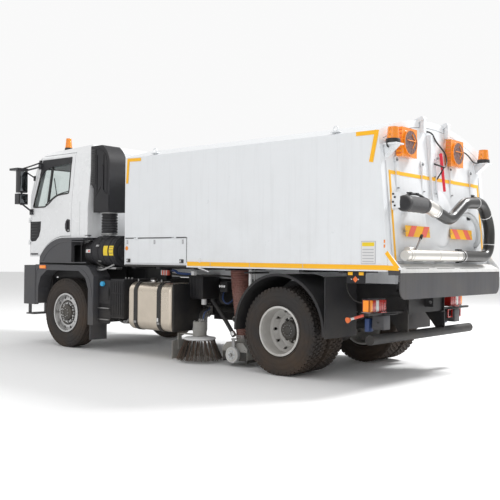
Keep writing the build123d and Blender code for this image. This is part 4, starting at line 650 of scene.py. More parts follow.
def strand(part, root, tip, half):
    """One three-sided bristle from a wide root to a narrow tip."""
    run = (tip - root).normalized()
    across = run.cross(up).normalized()
    lift = run.cross(across)
    rings = []
    for place, reach in ((root, half), (tip, 0.6 * half)):
        rings.append([part.verts.new(place + reach * (math.cos(turn) * across + math.sin(turn) * lift))
                      for turn in (0, 2.1, 4.2)])
    for step in range(3):
        part.faces.new((rings[0][step], rings[0][(step + 1) % 3], rings[1][(step + 1) % 3], rings[1][step]))
    part.faces.new(rings[1])
    part.faces.new(rings[0][::-1])


def bristle_ring(shape, centre, draw):
    """Bunches of bristles that fan out from under the broom's disc."""
    held = {finish: bmesh.new() for finish in (bristle_dark, bristle_worn, bristle_rust)}
    for bunch in range(bunch_count):
        around = math.tau * bunch / bunch_count
        inner = bunch % 2
        for _ in range(strands_each):
            root_turn = around + draw.uniform(-0.035, 0.035)
            tip_turn = around + draw.uniform(-0.11, 0.11)
            root_r = 0.16 + 0.03 * inner + draw.uniform(-0.01, 0.01)
            tip_r = 0.262 + 0.036 * inner + draw.uniform(-0.026, 0.014)
            root = round_point(centre + 0.292 * up, root_r, root_turn, flat=True)
            tip = round_point(centre + (0.028 + draw.uniform(0, 0.02)) * up, tip_r, tip_turn, flat=True)
            finish = draw.choice((bristle_dark, bristle_dark, bristle_worn, bristle_rust))
            strand(held[finish], root, tip, 0.0027)
    for finish, part in held.items():
        shape.take(part, finish)


for side, hand in sides:
    centre = Vector((broom_x, broom_y, 0))
    shape = Shape(side)
    bristle_ring(shape, shape.at(centre), random.Random(7 + side))
    shape.turned(((0, 0.288), (0.185, 0.288), (0.205, 0.296), (0.215, 0.306), (0.212, 0.318), (0.2, 0.324),
                  (0.16, 0.33), (0.12, 0.336), (0, 0.336)), centre, up, label_white, 56)
    bolt_circle(shape, centre + 0.335 * up, 0.105, 6, 0.01, 0.011, steel_dull, flat=True)
    shape.piece("broom_bristles_" + hand, "brush_" + hand, stands_for=("brush_" + hand,))

    shape = Shape(side)
    shape.turned(((0.094, 0.4), (0.098, 0.404), (0.098, 0.44), (0.094, 0.444)), centre, up, grey_steel, 40,
                 closed=True)
    bolt_circle(shape, centre + 0.532 * up, 0.07, 4, 0.012, 0.011, steel_dull, flat=True, first=0.5)
    for shift, finish in ((-0.035, blue_plastic), (0.0, black_rubber), (0.035, black_rubber)):
        start = centre + Vector((shift, -0.03, 0.534))
        shape.pin(start, 0.03 * up, 0.014, steel_dull, 6)
        bends = ((0, 0, 0.02), (0, 0, 0.1), (0.04, -0.12, 0.14), (0.1, -0.24, 0.15))
        shape.hose([start + Vector(bend) for bend in bends] + [(shift - 0.06, 0.57, 0.7)], 0.0085, finish, 8)
    shape.piece("broom_motor_fittings_" + hand, "broom_arm_" + hand)


# Suction nozzles with their ribbed hoses

suction_x = -0.914
suction_y = 0.72
castor = (suction_x, 0.995, 0.15)


def ribbed_hose(shape, places, radii, pitch, finish):
    """A hose of close rings along a line of centres whose radius changes."""
    part = bmesh.new()
    total = sum((end - start).length for start, end in zip(places, places[1:]))
    count = int(total / pitch)
    rings = []
    for step in range(2 * count + 1):
        at = step / (2 * count) * (len(places) - 1)
        low = min(int(at), len(places) - 2)
        centre = places[low].lerp(places[low + 1], at - low)
        radius = radii[low] + (radii[low + 1] - radii[low]) * (at - low) - 0.007 * (step % 2)
        rings.append([part.verts.new(round_point(centre, radius, math.tau * k / 36, flat=True))
                      for k in range(36)])
    for low, high in zip(rings, rings[1:]):
        for k in range(36):
            part.faces.new((low[k], low[(k + 1) % 36], high[(k + 1) % 36], high[k]))
    part.faces.new(rings[0][::-1])
    part.faces.new(rings[-1])
    shape.take(part, finish)


for side, hand in sides:
    top = Vector((suction_x + 0.02, side * 0.82, 1.262))
    foot = Vector((suction_x, side * 0.8, 0.345))
    shape = Shape()
    ribbed_hose(shape, (top, top.lerp(foot, 0.3), top.lerp(foot, 0.7), foot), (0.148, 0.134, 0.104, 0.084),
                0.024, suction_rubber)
    hose = shape.piece("suction_hose_ribs_" + hand, None, sharp=25,
                       stands_for=("suction_hose_" + hand,))
    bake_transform(hose)

    shape = Shape(side)
    for z, radius in ((0.358, 0.088), (0.381, 0.089)):
        shape.ring(radius - 0.004, radius + 0.003, 0.006, (suction_x, 0.8, z), up, steel_dull, 48)
    shape.pin((suction_x - 0.12, 0.8, 0.3), 0.06 * up, 0.012, steel_dull, 12)
    # Arm with its bright cap, from the pivot down to the castor
    shape.hose(((-0.42, 0.86, 0.82), (-0.5, 0.88, 0.76), (-0.72, 0.92, 0.57), (-0.86, 0.95, 0.43)), 0.027,
               black_frame, 12)
    shape.rod((-0.86, 0.95, 0.43), (-0.9, 0.955, 0.385), 0.034, chrome, 24, bevel=0.006)
    shape.blocks(steel_dull, 0.003, (-0.93, 1.005, 0.2, 0.05, 0.012, 0.3),
                 (-0.93, 0.985, 0.35, 0.07, 0.06, 0.014))
    shape.pin((suction_x, 1.035, 0.15), 0.015 * outward, 0.022, steel_dull, 6)
    # Rubber skirts round the box, and its bolts
    shape.blocks(black_rubber, 0.003, *((x, suction_y, 0.12, 0.01, 0.46, 0.13) for x in (-1.118, -0.71)))
    for step in range(5):
        shape.pin((-1.08 + 0.083 * step, 0.96, 0.21), 0.008 * outward, 0.009, steel_dull, 6)
    shape.block((suction_x, 0.963, 0.13), (0.4, 0.008, 0.11), black_rubber, 0.002)
    shape.piece("nozzle_fittings_" + hand, "nozzle_" + hand)

    shape = Shape(side)
    shape.turned(((0.028, -0.03), (0.06, -0.03), (0.066, -0.024), (0.094, -0.028), (0.101, -0.018),
                  (0.102, 0.018), (0.094, 0.028), (0.066, 0.024), (0.06, 0.03), (0.028, 0.03)), castor,
                 outward, pale_grey, 56, closed=True)
    bolt_circle(shape, Vector(castor) + 0.029 * outward, 0.045, 6, 0.006, 0.006, steel_dull)
    shape.piece("castor_tyre_" + hand, "nozzle_wheel_" + hand)


# Marks, stripes and fittings along the hopper's sides

mark_out = 1.2515
wall_out = 1.2505
tape = 0.0025


def bar_corners(start, end, width):
    """The four corners of a straight bar between two (x, z) points."""
    start, end = Vector(start), Vector(end)
    run = end - start
    off = Vector((-run.y, run.x)).normalized() * width / 2
    return [tuple(start - off), tuple(end - off), tuple(end + off), tuple(start + off)]


def box_corners(low_x, low_z, high_x, high_z):
    """The four corners of an upright rectangle."""
    return [(low_x, low_z), (high_x, low_z), (high_x, high_z), (low_x, high_z)]


def side_stripe(shape, corners, finish, lift=0.0):
    """A thin strip stuck on a side of the hopper, from its (x, z) corners."""
    shape.flank(corners, mark_out + lift, tape, finish)


for side, hand in sides:
    shape = Shape(side)
    for lift, corners in ((0.0, [(-3.165, 2.712), (-2.9, 2.714), (-2.9, 2.76), (-3.184, 2.757)]),
                          (0.0005, bar_corners((-3.162, 2.757), (-3.09, 2.42), 0.05)),
                          (0.0, [(0.582, 2.7), (0.862, 2.708), (0.86, 2.753), (0.582, 2.744)]),
                          (0.0005, bar_corners((0.838, 2.752), (0.863, 2.405), 0.045)),
                          (0.0, [(-3.29, 1.268), (-0.335, 1.272), (-0.335, 1.326), (-3.285, 1.318)])):
        side_stripe(shape, corners, tape_yellow, lift)
    for x in (-2.2, -1.4, -0.75):
        side_stripe(shape, box_corners(x, 1.272, x + 0.006, 1.322), label_grey, 0.002)
    # Blank label with its bars
    side_stripe(shape, box_corners(-3.155, 1.33, -2.975, 1.575), label_grey)
    side_stripe(shape, box_corners(-3.148, 1.337, -2.982, 1.568), label_white, 0.002)
    side_stripe(shape, box_corners(-3.14, 1.52, -2.99, 1.56), label_yellow, 0.004)
    for row in range(5):
        z = 1.35 + 0.032 * row
        side_stripe(shape, box_corners(-3.135, z, -2.995, z + 0.012), label_grey, 0.004)
    shape.piece("hopper_stripes_" + hand, "hopper")

    shape = Shape(side)
    shape.blocks(amber_lens, 0.003, *((-3.262, 1.252, z, 0.014, 0.012, 0.035) for z in (1.52, 1.57)))
    shape.turned(((0, 0.012), (0.022, 0.01), (0.028, 0.004), (0.03, -0.002), (0, -0.002)),
                 (-0.56, 1.252, 1.345), outward, label_white, 28)
    # Thin lip under the floor and a row of rivets along it
    shape.block((-1.35, 1.235, 1.262), (3.9, 0.03, 0.022), hopper_white, 0.004)
    for step in range(33):
        shape.turned(((0, 0.0035), (0.005, 0.002), (0.0065, 0), (0, 0)),
                     (-3.2 + 0.09 * step, wall_out, 1.335), outward, hopper_white, 10)
    # Dark seams over and behind the locker
    shape.blocks(black_rubber, 0, (0.29, wall_out, 1.642, 1.21, 0.003, 0.01),
                 (-0.323, wall_out, 1.48, 0.006, 0.003, 0.33))
    # White drop lever under the floor
    shape.hose(((-0.49, 1.235, 1.29), (-0.5, 1.235, 1.25), (-0.58, 1.22, 1.235), (-0.675, 1.2, 1.2)), 0.009,
               label_white, 10)
    # Lifting eyes on the shoulder
    for x in (-2.6, 0.35):
        shape.block((x, 1.2, 2.795), (0.12, 0.05, 0.012), hopper_white, 0.003)
        shape.ring(0.022, 0.036, 0.006, (x, 1.2, 2.83), outward, hopper_white, 28)
    shape.piece("hopper_side_fittings_" + hand, "hopper")

    # Locker door: latches, hinge straps and marker lamp
    shape = Shape(side)
    for x in (0.818, -0.231):
        shape.block((x, 1.254, 1.33), (0.075, 0.009, 0.05), black_plastic, 0.003)
        shape.turned(((0, 0.01), (0.014, 0.01), (0.018, 0.004), (0.018, 0), (0, 0)), (x + 0.012, 1.258, 1.33),
                     outward, chrome, 24)
        shape.block((x - 0.016, 1.263, 1.33), (0.04, 0.006, 0.022), black_plastic, 0.002)
    for x in (0.844, 0.291, -0.25):
        shape.block((x, 1.253, 1.585), (0.03, 0.007, 0.055), label_grey, 0.002)
        for z in (1.566, 1.604):
            shape.pin((x, 1.256, z), 0.004 * outward, 0.005, steel_dull, 8)
    shape.turned(((0, 0.01), (0.02, 0.009), (0.028, 0.003), (0.03, -0.002), (0, -0.002)), (0.86, 1.252, 1.5),
                 outward, amber_lens, 28)
    shape.piece("locker_latches_" + hand, "locker_door_" + hand)

    shape = Shape(side)
    shape.block((0.286, 1.2275, 1.264), (1.21, 0.048, 0.03), black_rubber, 0.004)
    shape.piece("locker_sill_" + hand, "hopper")


# The tailgate and all that hangs on it

gate_straps = (0.93, 0.35, -0.35, -0.9)


def rear_face_x(z):
    """X of the tailgate's outer face at a height."""
    return rear_top_x - (rear_top_z - z) * rear_slope


def gate_plate(shape, corners, thickness, finish, lift=0.0):
    """A flat plate on the sloping tailgate, from its (y, z) corners."""
    place = facing((0, -1, 0), (rear_slope, 0, 1), (rear_face_x(0) - lift - 0.001, 0, 0))
    shape.plate([(-y, z * math.hypot(1, rear_slope)) for y, z in corners], thickness, place, finish)


def gate_point(y, z, lift=0.0):
    """A point this far out from the tailgate's face."""
    return Vector((rear_face_x(z) - lift, y, z))


def gate_hose(shape, rows, radius, finish, sides=10):
    """A hose on the tailgate, each point given as Y, Z and how far it stands out."""
    shape.hose([gate_point(*row) for row in rows], radius, finish, sides)


def gate_pin(shape, y, z, low, high, radius, finish, sides=16):
    """A round bar that stands out from the tailgate."""
    shape.rod(gate_point(y, z, low), gate_point(y, z, high), radius, finish, sides)


shape = Shape()
for corners in ((-1.127, 2.302, 1.1, 2.343), (1.064, 1.36, 1.1, 2.303), (-1.127, 1.36, -1.087, 2.303)):
    gate_plate(shape, box_corners(*corners), 0.002, tape_yellow)
for y in gate_straps:
    shape.block((rear_face_x(2.28) - 0.015, y, 2.3225), (0.003, 0.063, 0.041), tape_yellow)
shape.block((rear_face_x(2.45) - 0.0262, 0.12, 2.3225), (0.003, 0.113, 0.041), tape_yellow)
for low, high, bars in (((0.36, 1.63), (0.905, 1.752), ((0.755, -0.105), (0.462, -0.1))),
                        ((-0.735, 1.63), (-0.158, 1.747), ((-0.414, 0.1), (-0.701, 0.1)))):
    gate_plate(shape, box_corners(*low, *high), 0.003, tape_yellow, 0.045)
    for start, slant in bars:
        gate_plate(shape, [(start, low[1]), (start + 0.12, low[1]), (start + 0.12 + slant, high[1]),
                           (start + slant, high[1])], 0.002, tape_red, 0.0485)
    for y in (low[0] + 0.02, high[0] - 0.02):
        gate_pin(shape, y, 1.69, -0.01, 0.053, 0.006, steel_dull, 10)
shape.piece("tailgate_tape", "tailgate")

shape = Shape()
# Pressed straps with their rings, and a seam round the gate
for y in gate_straps:
    shape.ring(0.026, 0.04, 0.007, gate_point(y, 2.47, 0.012), (1, 0, -rear_slope), hopper_white, 28)
    gate_pin(shape, y, 2.47, 0.0, 0.03, 0.011, steel_dull, 10)
    shape.block(gate_point(y, 2.43, 0.016), (0.016, 0.04, 0.05), hopper_white, 0.004)
    for z in (2.16, 2.4):
        gate_pin(shape, y, z, 0.0, 0.022, 0.009, steel_dull, 8)
for y in (1.148, -1.148):
    gate_plate(shape, box_corners(y - 0.004, 1.36, y + 0.004, 2.44), 0.003, label_grey)
gate_plate(shape, box_corners(-1.15, 1.354, 1.15, 1.362), 0.003, label_grey)
# Folded post in the middle with its lock
for y in (0.058, 0.182):
    gate_plate(shape, box_corners(y - 0.004, 1.98, y + 0.004, 2.82), 0.03, hopper_white)
for z in (2.55, 2.35, 2.15):
    gate_pin(shape, 0.09, z, 0.02, 0.036, 0.008, steel_dull, 8)
gate_pin(shape, 0.039, 2.3, 0.0, 0.012, 0.016, black_plastic)
# Pale hanger with a black hook that the hose passes under
gate_hose(shape, ((-0.5, 1.94, 0.0), (-0.6, 1.955, 0.05), (-0.76, 1.92, 0.06), (-0.87, 1.83, 0.06),
                  (-0.905, 1.72, 0.06), (-0.9, 1.6, 0.05), (-0.89, 1.55, 0.0)), 0.031, pale_grey, 12)
gate_pin(shape, -0.75, 1.9, 0.0, 0.03, 0.026, black_plastic)
gate_hose(shape, ((-0.92, 2.17, 0.0), (-0.94, 2.165, 0.11), (-1.03, 2.06, 0.15), (-1.11, 1.95, 0.15),
                  (-1.14, 1.87, 0.14)), 0.017, black_plastic)
shape.block(gate_point(-0.92, 2.17, 0.012), (0.03, 0.06, 0.07), black_plastic, 0.006)
shape.piece("tailgate_fittings", "tailgate")

shape = Shape()
shape.rod(gate_point(-0.002, 2.605, 0.075), gate_point(-0.029, 2.181, 0.075), 0.019, red_paint, 20, 0.016,
          0.004)
gate_pin(shape, -0.004, 2.575, 0.0, 0.08, 0.014, steel_dull, 14)
shape.block(gate_point(-0.004, 2.575, 0.012), (0.02, 0.07, 0.07), hopper_white, 0.004)
shape.turned(((0.0, 0.02), (0.016, 0.016), (0.021, 0), (0.016, -0.016), (0, -0.02)),
             gate_point(-0.001, 2.613, 0.075), up, red_paint, 20)
shape.piece("tailgate_lever", "tailgate")

shape = Shape()
for radius, sides_round, rows in (
        (0.0095, 10, ((0.165, 2.875, 0.0), (0.152, 2.862, 0.05), (0.12, 2.82, 0.06), (0.07, 2.764, 0.06),
                      (-0.038, 2.708, 0.06), (-0.145, 2.651, 0.06), (-0.175, 2.58, 0.06),
                      (-0.124, 2.51, 0.08), (-0.031, 2.462, 0.1), (0.051, 2.475, 0.09), (0.099, 2.5, 0.03))),
        (0.008, 8, ((-0.015, 2.47, 0.1), (0.012, 2.4, 0.07), (0.036, 2.338, 0.03), (0.039, 2.29, 0.0))),
        (0.0085, 10, ((-0.56, 2.71, 0.03), (-0.66, 2.725, 0.05), (-0.77, 2.69, 0.06), (-0.83, 2.64, 0.07),
                      (-0.92, 2.6, 0.07), (-1.06, 2.62, 0.06))),
        (0.0085, 10, ((0.95, 2.6, 0.03), (1.05, 2.57, 0.05), (1.19, 2.575, 0.06), (1.22, 2.62, 0.07),
                      (1.2, 2.65, 0.09), (1.17, 2.655, 0.1)))):
    gate_hose(shape, rows, radius, black_rubber, sides_round)
shape.piece("tailgate_cables", "tailgate")

# Mesh faces of the arrow lamps, their rims, and the beacons' black feet
shape = Shape()
face_x = rear_face_x(2.665) - 0.112
for y in (0.77, -0.39):
    centre = Vector((face_x, y, 2.665))
    shape.turned(((0, -0.001), (0.129, -0.001), (0.129, 0.003), (0, 0.003)), centre, -ahead, lamp_mesh, 48)
    shape.turned(((0.129, -0.004), (0.142, -0.004), (0.14, 0.006), (0.131, 0.006)), centre, -ahead,
                 amber_lens, 56, closed=True)
    for turn in range(0, 360, 30):
        for reach in (0.034, 0.066, 0.098, 0.118):
            angle = math.radians(turn + 210 * reach)
            root = centre + Vector((-0.003, reach * math.cos(angle), reach * math.sin(angle)))
            shape.pin(root, -0.004 * ahead, 0.0085, lamp_mesh, 8)
    # A bent arrow of three bars
    for start, end in (((-0.08, 0.02), (0.09, 0.02)), ((0.09, 0.02), (0.02, 0.09)),
                       ((0.09, 0.02), (0.03, -0.06))):
        shape.rod(centre + Vector((-0.009, -start[0], start[1])), centre + Vector((-0.009, -end[0], end[1])),
                  0.006, amber_lens, 8)
    # Ridges across the amber case
    shape.blocks(orange_plastic, 0.001, *((face_x + 0.048, y + 0.1665, 2.54 + 0.042 * step, 0.06, 0.004,
                                           0.012) for step in range(7)))
x = rear_face_x(2.61) - 0.095
root_x = rear_face_x(2.604) - 0.002
for _ in shape.both_sides():
    centre = Vector((x, 1.13, 2.616))
    shape.turned(((0.07, 0.002), (0.079, 0.004), (0.078, 0.04), (0.074, 0.05), (0.066, 0.054)), centre, up,
                 black_plastic, 40, closed=True)
    for step in range(4):
        z = 0.068 + 0.027 * step
        radius = 0.0677 - 0.0875 * (z - 0.0525)
        rib = ((radius - 0.004, -0.005), (radius + 0.001, -0.003), (radius + 0.001, 0.003),
               (radius - 0.004, 0.005))
        shape.turned(rib, centre + z * up, up, amber_lens, 40, closed=True)
    # Pale bracket with its gusset
    shape.blocks(hopper_white, 0.003, (x - 0.005, 1.13, 2.61, 0.164, 0.164, 0.0165),
                 ((x + 0.055 + root_x) / 2, 1.09, 2.61, root_x - x - 0.055, 0.114, 0.0165))
    wedge = [(x - 0.06, 2.602), (rear_face_x(2.48) + 0.002, 2.48), (rear_face_x(2.602) + 0.002, 2.602)]
    shape.flank(wedge, 1.075, 0.09, hopper_white)
shape.piece("warning_lamp_faces", "tailgate")


# Bright hose couplings, ties and straps

sleeve_z = 1.975
pipe_z = 1.425


def band(shape, y, z, run, radius, width, finish):
    """A ring round a hose, at a point of the plane it runs in and along a direction."""
    shape.ring(radius, radius + 0.005, width / 2, (hose_x, y, z), run, finish)


shape = Shape()
for y, z, run, radius, width, finish in (
        (0.405, 1.9237, (0, 0.97, 0.243), 0.074, 0.02, chrome), (0.445, 1.934, (0, 0.97, 0.243), 0.074, 0.02,
                                                                 chrome),
        (-0.625, 2.0765, (0, 1, -0.053), 0.067, 0.009, label_white),
        (-0.925, 1.933, (0, 0.64, 0.77), 0.067, 0.009, label_white),
        (-1.02, 1.575, (0, 0.066, -1), 0.067, 0.009, label_white),
        (-0.25, pipe_z, outward, 0.066, 0.03, steel_dull), (-0.19, pipe_z, outward, 0.06, 0.03, steel_dull),
        (0.96, pipe_z, outward, 0.06, 0.045, bright_aluminium), (0.36, pipe_z, outward, 0.06, 0.045,
                                                                 bright_aluminium),
        (-0.08, pipe_z, outward, 0.06, 0.045, bright_aluminium)):
    band(shape, y, z, run, radius, width, finish)
shape.block((hose_x, -0.17, 1.497), (0.05, 0.09, 0.025), black_plastic, 0.006)
shape.block((hose_x, -0.17, 1.352), (0.05, 0.07, 0.02), black_plastic, 0.005)
# Handle that turns the lower pipe's flap
shape.rod((hose_x, 0.86, 1.48), (hose_x, 0.74, 1.625), 0.011, steel_dull, 14)
shape.rod((hose_x, 0.755, 1.607), (hose_x, 0.72, 1.65), 0.017, black_rubber, bevel=0.004)
shape.block((hose_x + 0.05, 0.9, 1.47), (0.12, 0.16, 0.09), bright_aluminium, 0.01, taper=(0.6, 0.7))
shape.blocks(pale_grey, 0.003, *((hose_x + 0.09, y, 1.36, 0.18, 0.06, 0.014) for y in (0.66, 0.17)))
shape.piece("hose_couplings", "tailgate")

# Quilted sleeve with its strap and buckles
shape = Shape()
quilt = [(0.0875 - 0.003 * (step % 2), -0.21 + 0.0525 * step) for step in range(9)]
shape.turned([(0.078, -0.235), (0.0865, -0.23), *quilt, (0.086, 0.23), (0.078, 0.245), (0.062, 0.258),
              (0.035, 0.266), (0, 0.268)], (hose_x, 0.895, sleeve_z), outward, sleeve_cloth, 44)
for y in (0.7, 1.09):
    band(shape, y, sleeve_z, outward, 0.084, 0.022, black_plastic)
shape.hose([(hose_x, y, z) for y, z in ((1.1, 2.05), (1.02, 2.075), (0.9, 2.088), (0.78, 2.085),
                                        (0.69, 2.06))], 0.014, sleeve_cloth, 8)
shape.blocks(black_plastic, 0.004, *((hose_x, y, 2.092, 0.05, 0.05, 0.016) for y in (0.86, 1.0)))
for z in (1.99, 1.955, 1.92):
    shape.hose(((hose_x + 0.05, 1.13, z), (hose_x + 0.03, 1.152, z), (hose_x, 1.145, z + 0.004),
                (hose_x, 1.11, z)), 0.006, black_plastic, 6)
shape.blocks(hopper_white, 0.008, *((rear_face_x(sleeve_z) - 0.045, y, sleeve_z, 0.09, 0.06, height) for y,
                                    height in ((1.06, 0.13), (0.74, 0.1))))
shape.block((-3.34, 1.158, 2.01), (0.1, 0.008, 0.17), hopper_white, 0.003)
shape.blocks(black_plastic, 0.003, *((x, 1.165, z, 0.022, 0.01, 0.02) for x,
                                     z in ((-3.31, 2.075), (-3.33, 2.04), (-3.31, 1.99), (-3.33, 1.95))))
shape.piece("hose_sleeve", "tailgate")

# Ledge: pale covers with their slots, screws, and the edge of the apron
shape = Shape()
ledge_root = Vector((rear_face_x(1.33) - 0.003, 0, 1.3302))
ledge_mid = Vector((rear_face_x(1.33) - 0.06, 0, 1.3252))
ledge_end = Vector((apron_back_x, 0, 1.2752))
for start, end in ((ledge_root, ledge_mid), (ledge_mid, ledge_end)):
    shape.plate(box_corners(-1.248, 0, 1.248, (end - start).length), 0.002,
                facing(outward, end - start, start), ledge_grey)
slope = facing(outward, ledge_end - ledge_mid, ledge_mid)
for low, high in ((0.56, 1.15), (-0.06, 0.46), (-0.7, -0.12)):
    shape.plate(box_corners(low, 0.0, high, 0.084), 0.006, slope, ledge_grey, 0.0015)
    shape.plate(box_corners(low + 0.05, 0.088, high - 0.04, 0.096), 0.0035, slope, black_plastic)
for step in range(12):
    shape.turned(((0, 0.004), (0.007, 0.003), (0.009, 0), (0, 0)), (apron_back_x - 0.006,
                                                                    -1.155 + 0.21 * step, 1.255), -ahead,
                 ledge_grey, 12)
shape.block((apron_back_x - 0.002, 0, 1.257), (0.008, 2.498, 0.036), ledge_grey, 0.002)
gusset = [(rear_face_x(1.472) - 0.004, 1.472), (apron_back_x - 0.0015, 1.2915),
          (apron_back_x - 0.0015, 1.271), (rear_face_x(1.271) - 0.004, 1.271)]
for _ in shape.both_sides():
    shape.flank(gusset, 1.2358, 0.0155, hopper_white)
shape.piece("ledge_covers", "hopper")

for side, hand in sides:
    shape = Shape(side)
    side_stripe(shape, bar_corners((-3.285, 1.455), (-3.425, 1.285), 0.044), tape_yellow, 0.0005)
    side_stripe(shape, [(-3.442, 1.262), (-3.285, 1.266), (-3.285, 1.318), (-3.405, 1.312)], tape_yellow,
                0.0003)
    shape.piece("ledge_stripes_" + hand, "hopper")


# Cab: window surrounds, deflectors, handles, vents, mirrors' glass. Its X is measured from the front axle, f

f = front_axle_x
waist_z = 2.12
cab_half_w = 1.215
cab_lean = 0.075 / 0.81
front_x = f + 1.03


def cab_point(x, z, lift=0.0):
    """A point on the cab's side, this far out from the skin."""
    return Vector((x, cab_half_w - max(0.0, z - waist_z) * cab_lean + lift, z))


def side_plate(shape, corners, thickness, finish, lift=0.0, bevel=0.0):
    """A flat plate against the leaning upper side of the cab, from (x, z) corners above the waist."""
    lean = Vector((0, -shape.side * cab_lean, 1)).normalized()
    origin = shape.at(cab_point(0, waist_z, lift)) + Vector((0, thickness if shape.side > 0 else 0.0, 0))
    raised = [(x, (z - waist_z) * math.hypot(1, cab_lean)) for x, z in corners]
    shape.plate(raised, thickness, facing(ahead, lean, origin), finish, bevel)


def front_skin_x(z):
    """X of the cab's front skin at a height."""
    return front_x - max(0.0, z - 1.89) * 0.23 / 0.96


def edge_loop(corners, share):
    """Points near the ends and at the middle of each side of an outline."""
    loop = []
    for (xa, za), (xb, zb) in zip(corners, corners[1:] + corners[:1]):
        loop += [(xa + part * (xb - xa), za + part * (zb - za)) for part in (share, 0.5, 1 - share)]
    return loop


window = [(f + 0.1, 2.33), (f - 0.07, 2.34), (f - 0.07, 2.88), (f + 0.64, 2.88), (f + 0.835, 2.15),
          (f + 0.52, 2.15), (f + 0.415, 2.2), (f + 0.31, 2.275), (f + 0.2, 2.32)]
for side, hand in sides:
    shape = Shape(side)
    shape.hose([cab_point(x, z, -0.004) for x, z in edge_loop(window, 0.04)], 0.013, black_rubber, 8,
               closed=True)
    shape.rod(cab_point(f + 0.47, 2.19, -0.024), cab_point(f + 0.42, 2.87, -0.024), 0.022, black_plastic, 12)
    # Deflector over the glass
    side_plate(shape, [(f - 0.085, 2.8), (f + 0.4, 2.775), (f + 0.6, 2.71), (f + 0.685, 2.6),
                       (f + 0.705, 2.66), (f + 0.66, 2.895), (f - 0.085, 2.895)], 0.012, dark_plastic, 0.001,
               0.003)
    shape.hose([cab_point(f + x, z) for x, z in ((-0.06, 2.37), (0.13, 2.352), (0.33, 2.29), (0.5, 2.18))],
               0.008, black_rubber, 8)
    # Handle in its D-shaped recess
    recess = [(f - 0.13, 1.75), (f - 0.13, 1.935), (f - 0.07, 1.945), (f - 0.035, 1.915), (f - 0.018, 1.87),
              (f - 0.018, 1.81), (f - 0.04, 1.765), (f - 0.075, 1.745)]
    shape.flank(recess, 1.2155, 0.004, black_plastic, 0.001)
    shape.block((f - 0.075, 1.226, 1.85), (0.03, 0.014, 0.13), dark_plastic, 0.005)
    shape.turned(((0, 0.004), (0.01, 0.003), (0.012, 0), (0, 0)), (f - 0.1, 1.2195, 1.775), outward, chrome,
                 20)
    # Dark vent behind the front corner, with its ribs
    vent = [(f + 0.61, 1.925), (f + 0.62, 1.79), (f + 0.66, 1.69), (f + 0.74, 1.62), (f + 0.84, 1.61),
            (f + 0.893, 1.63), (f + 0.893, 1.925)]
    shape.flank(vent, 1.207, 0.01, dark_plastic, 0.002)
    shape.blocks(black_plastic, 0.002, *((f + 0.77, 1.2175, 1.9 - 0.045 * step, 0.22 - 0.012 * step, 0.006,
                                          0.012) for step in range(6)))
    # Step edge along the door's foot
    shape.block((f + 0.78, 1.217, 1.415), (0.2, 0.006, 0.02), grey_trim, 0.002)
    shape.piece("door_fittings_" + hand, "door_" + hand)

    shape = Shape(side)
    x = f + 0.8
    shape.blocks(mirror_glass, 0.002, (x - 0.057, 1.45, 2.545, 0.006, 0.125, 0.305),
                 (x - 0.052, 1.45, 2.27, 0.006, 0.125, 0.125))
    shape.block((x - 0.0555, 1.45, 2.545), (0.004, 0.143, 0.325), black_rubber, 0.0015)
    for z in (2.71, 2.38, 2.19):
        shape.pin((x, 1.45, z - 0.014), 0.028 * up, 0.022, black_plastic, 20, bevel=0.003)
    for arm in (((f + 0.72, 1.17, 2.86), (f + 0.76, 1.3, 2.8), (x + 0.02, 1.42, 2.752)),
                ((f + 0.86, 1.15, 2.62), (f + 0.86, 1.28, 2.68), (x + 0.02, 1.42, 2.735))):
        shape.hose(arm, 0.011, black_plastic)
    shape.blocks(black_plastic, 0.006, (f + 0.72, 1.158, 2.86, 0.05, 0.03, 0.08),
                 (f + 0.86, 1.165, 2.62, 0.05, 0.03, 0.08))
    shape.piece("mirror_fittings_" + hand, "door_" + hand)

# Grille bars, badge panel with nothing on it, and the wipers
shape = Shape()
shape.blocks(black_plastic, 0.004, *((front_x + 0.004, 0, 1.475 + 0.075 * step, 0.018, 1.52, 0.02)
                                     for step in range(4)))
shape.block((front_x + 0.003, 0, 1.79), (0.014, 1.3, 0.09), black_plastic, 0.006)
shape.blocks(grey_trim, 0.004, *((front_x + 0.002, y, 1.6, 0.012, 0.03, 0.32) for y in (0.78, -0.78)))
screen = edge_loop([(-1.08, 1.985), (1.08, 1.985), (1.01, 2.79), (-1.01, 2.79)], 0.03)
shape.hose([(front_skin_x(z) + 0.001, y, z) for y, z in screen], 0.014, black_rubber, 8, closed=True)
for y in (0.35, -0.45):
    root = Vector((front_skin_x(1.93) + 0.02, y, 1.93))
    tip = Vector((front_skin_x(2.4) + 0.016, y + 0.36, 2.4))
    shape.turned(((0, 0.02), (0.018, 0.016), (0.022, 0), (0, -0.01)), root, ahead, black_plastic, 20)
    shape.rod(root, tip, 0.009, black_plastic, 10, 0.006)
    shape.rod(tip + Vector((0.035, -0.1, -0.32)), tip + Vector((-0.03, 0.06, 0.26)), 0.008, black_rubber, 8)
# Sun visor across the top of the windscreen, and the roof's marker lamps
shape.blocks(dark_plastic, 0.005, *((front_skin_x(2.86) + 0.04, y, 2.86, 0.1, 0.04, 0.03)
                                    for y in (0.8, -0.8)))
shape.block((front_skin_x(2.85) + 0.085, 0, 2.852), (0.008, 1.86, 0.13), dark_plastic, 0.003, about("Y", -24))
shape.blocks(amber_lens, 0.006, *((front_skin_x(2.99) - 0.06, y, 3.0, 0.05, 0.08, 0.03)
                                  for y in (-0.8, -0.3, 0.3, 0.8)))
shape.piece("cab_front_fittings", "cab")

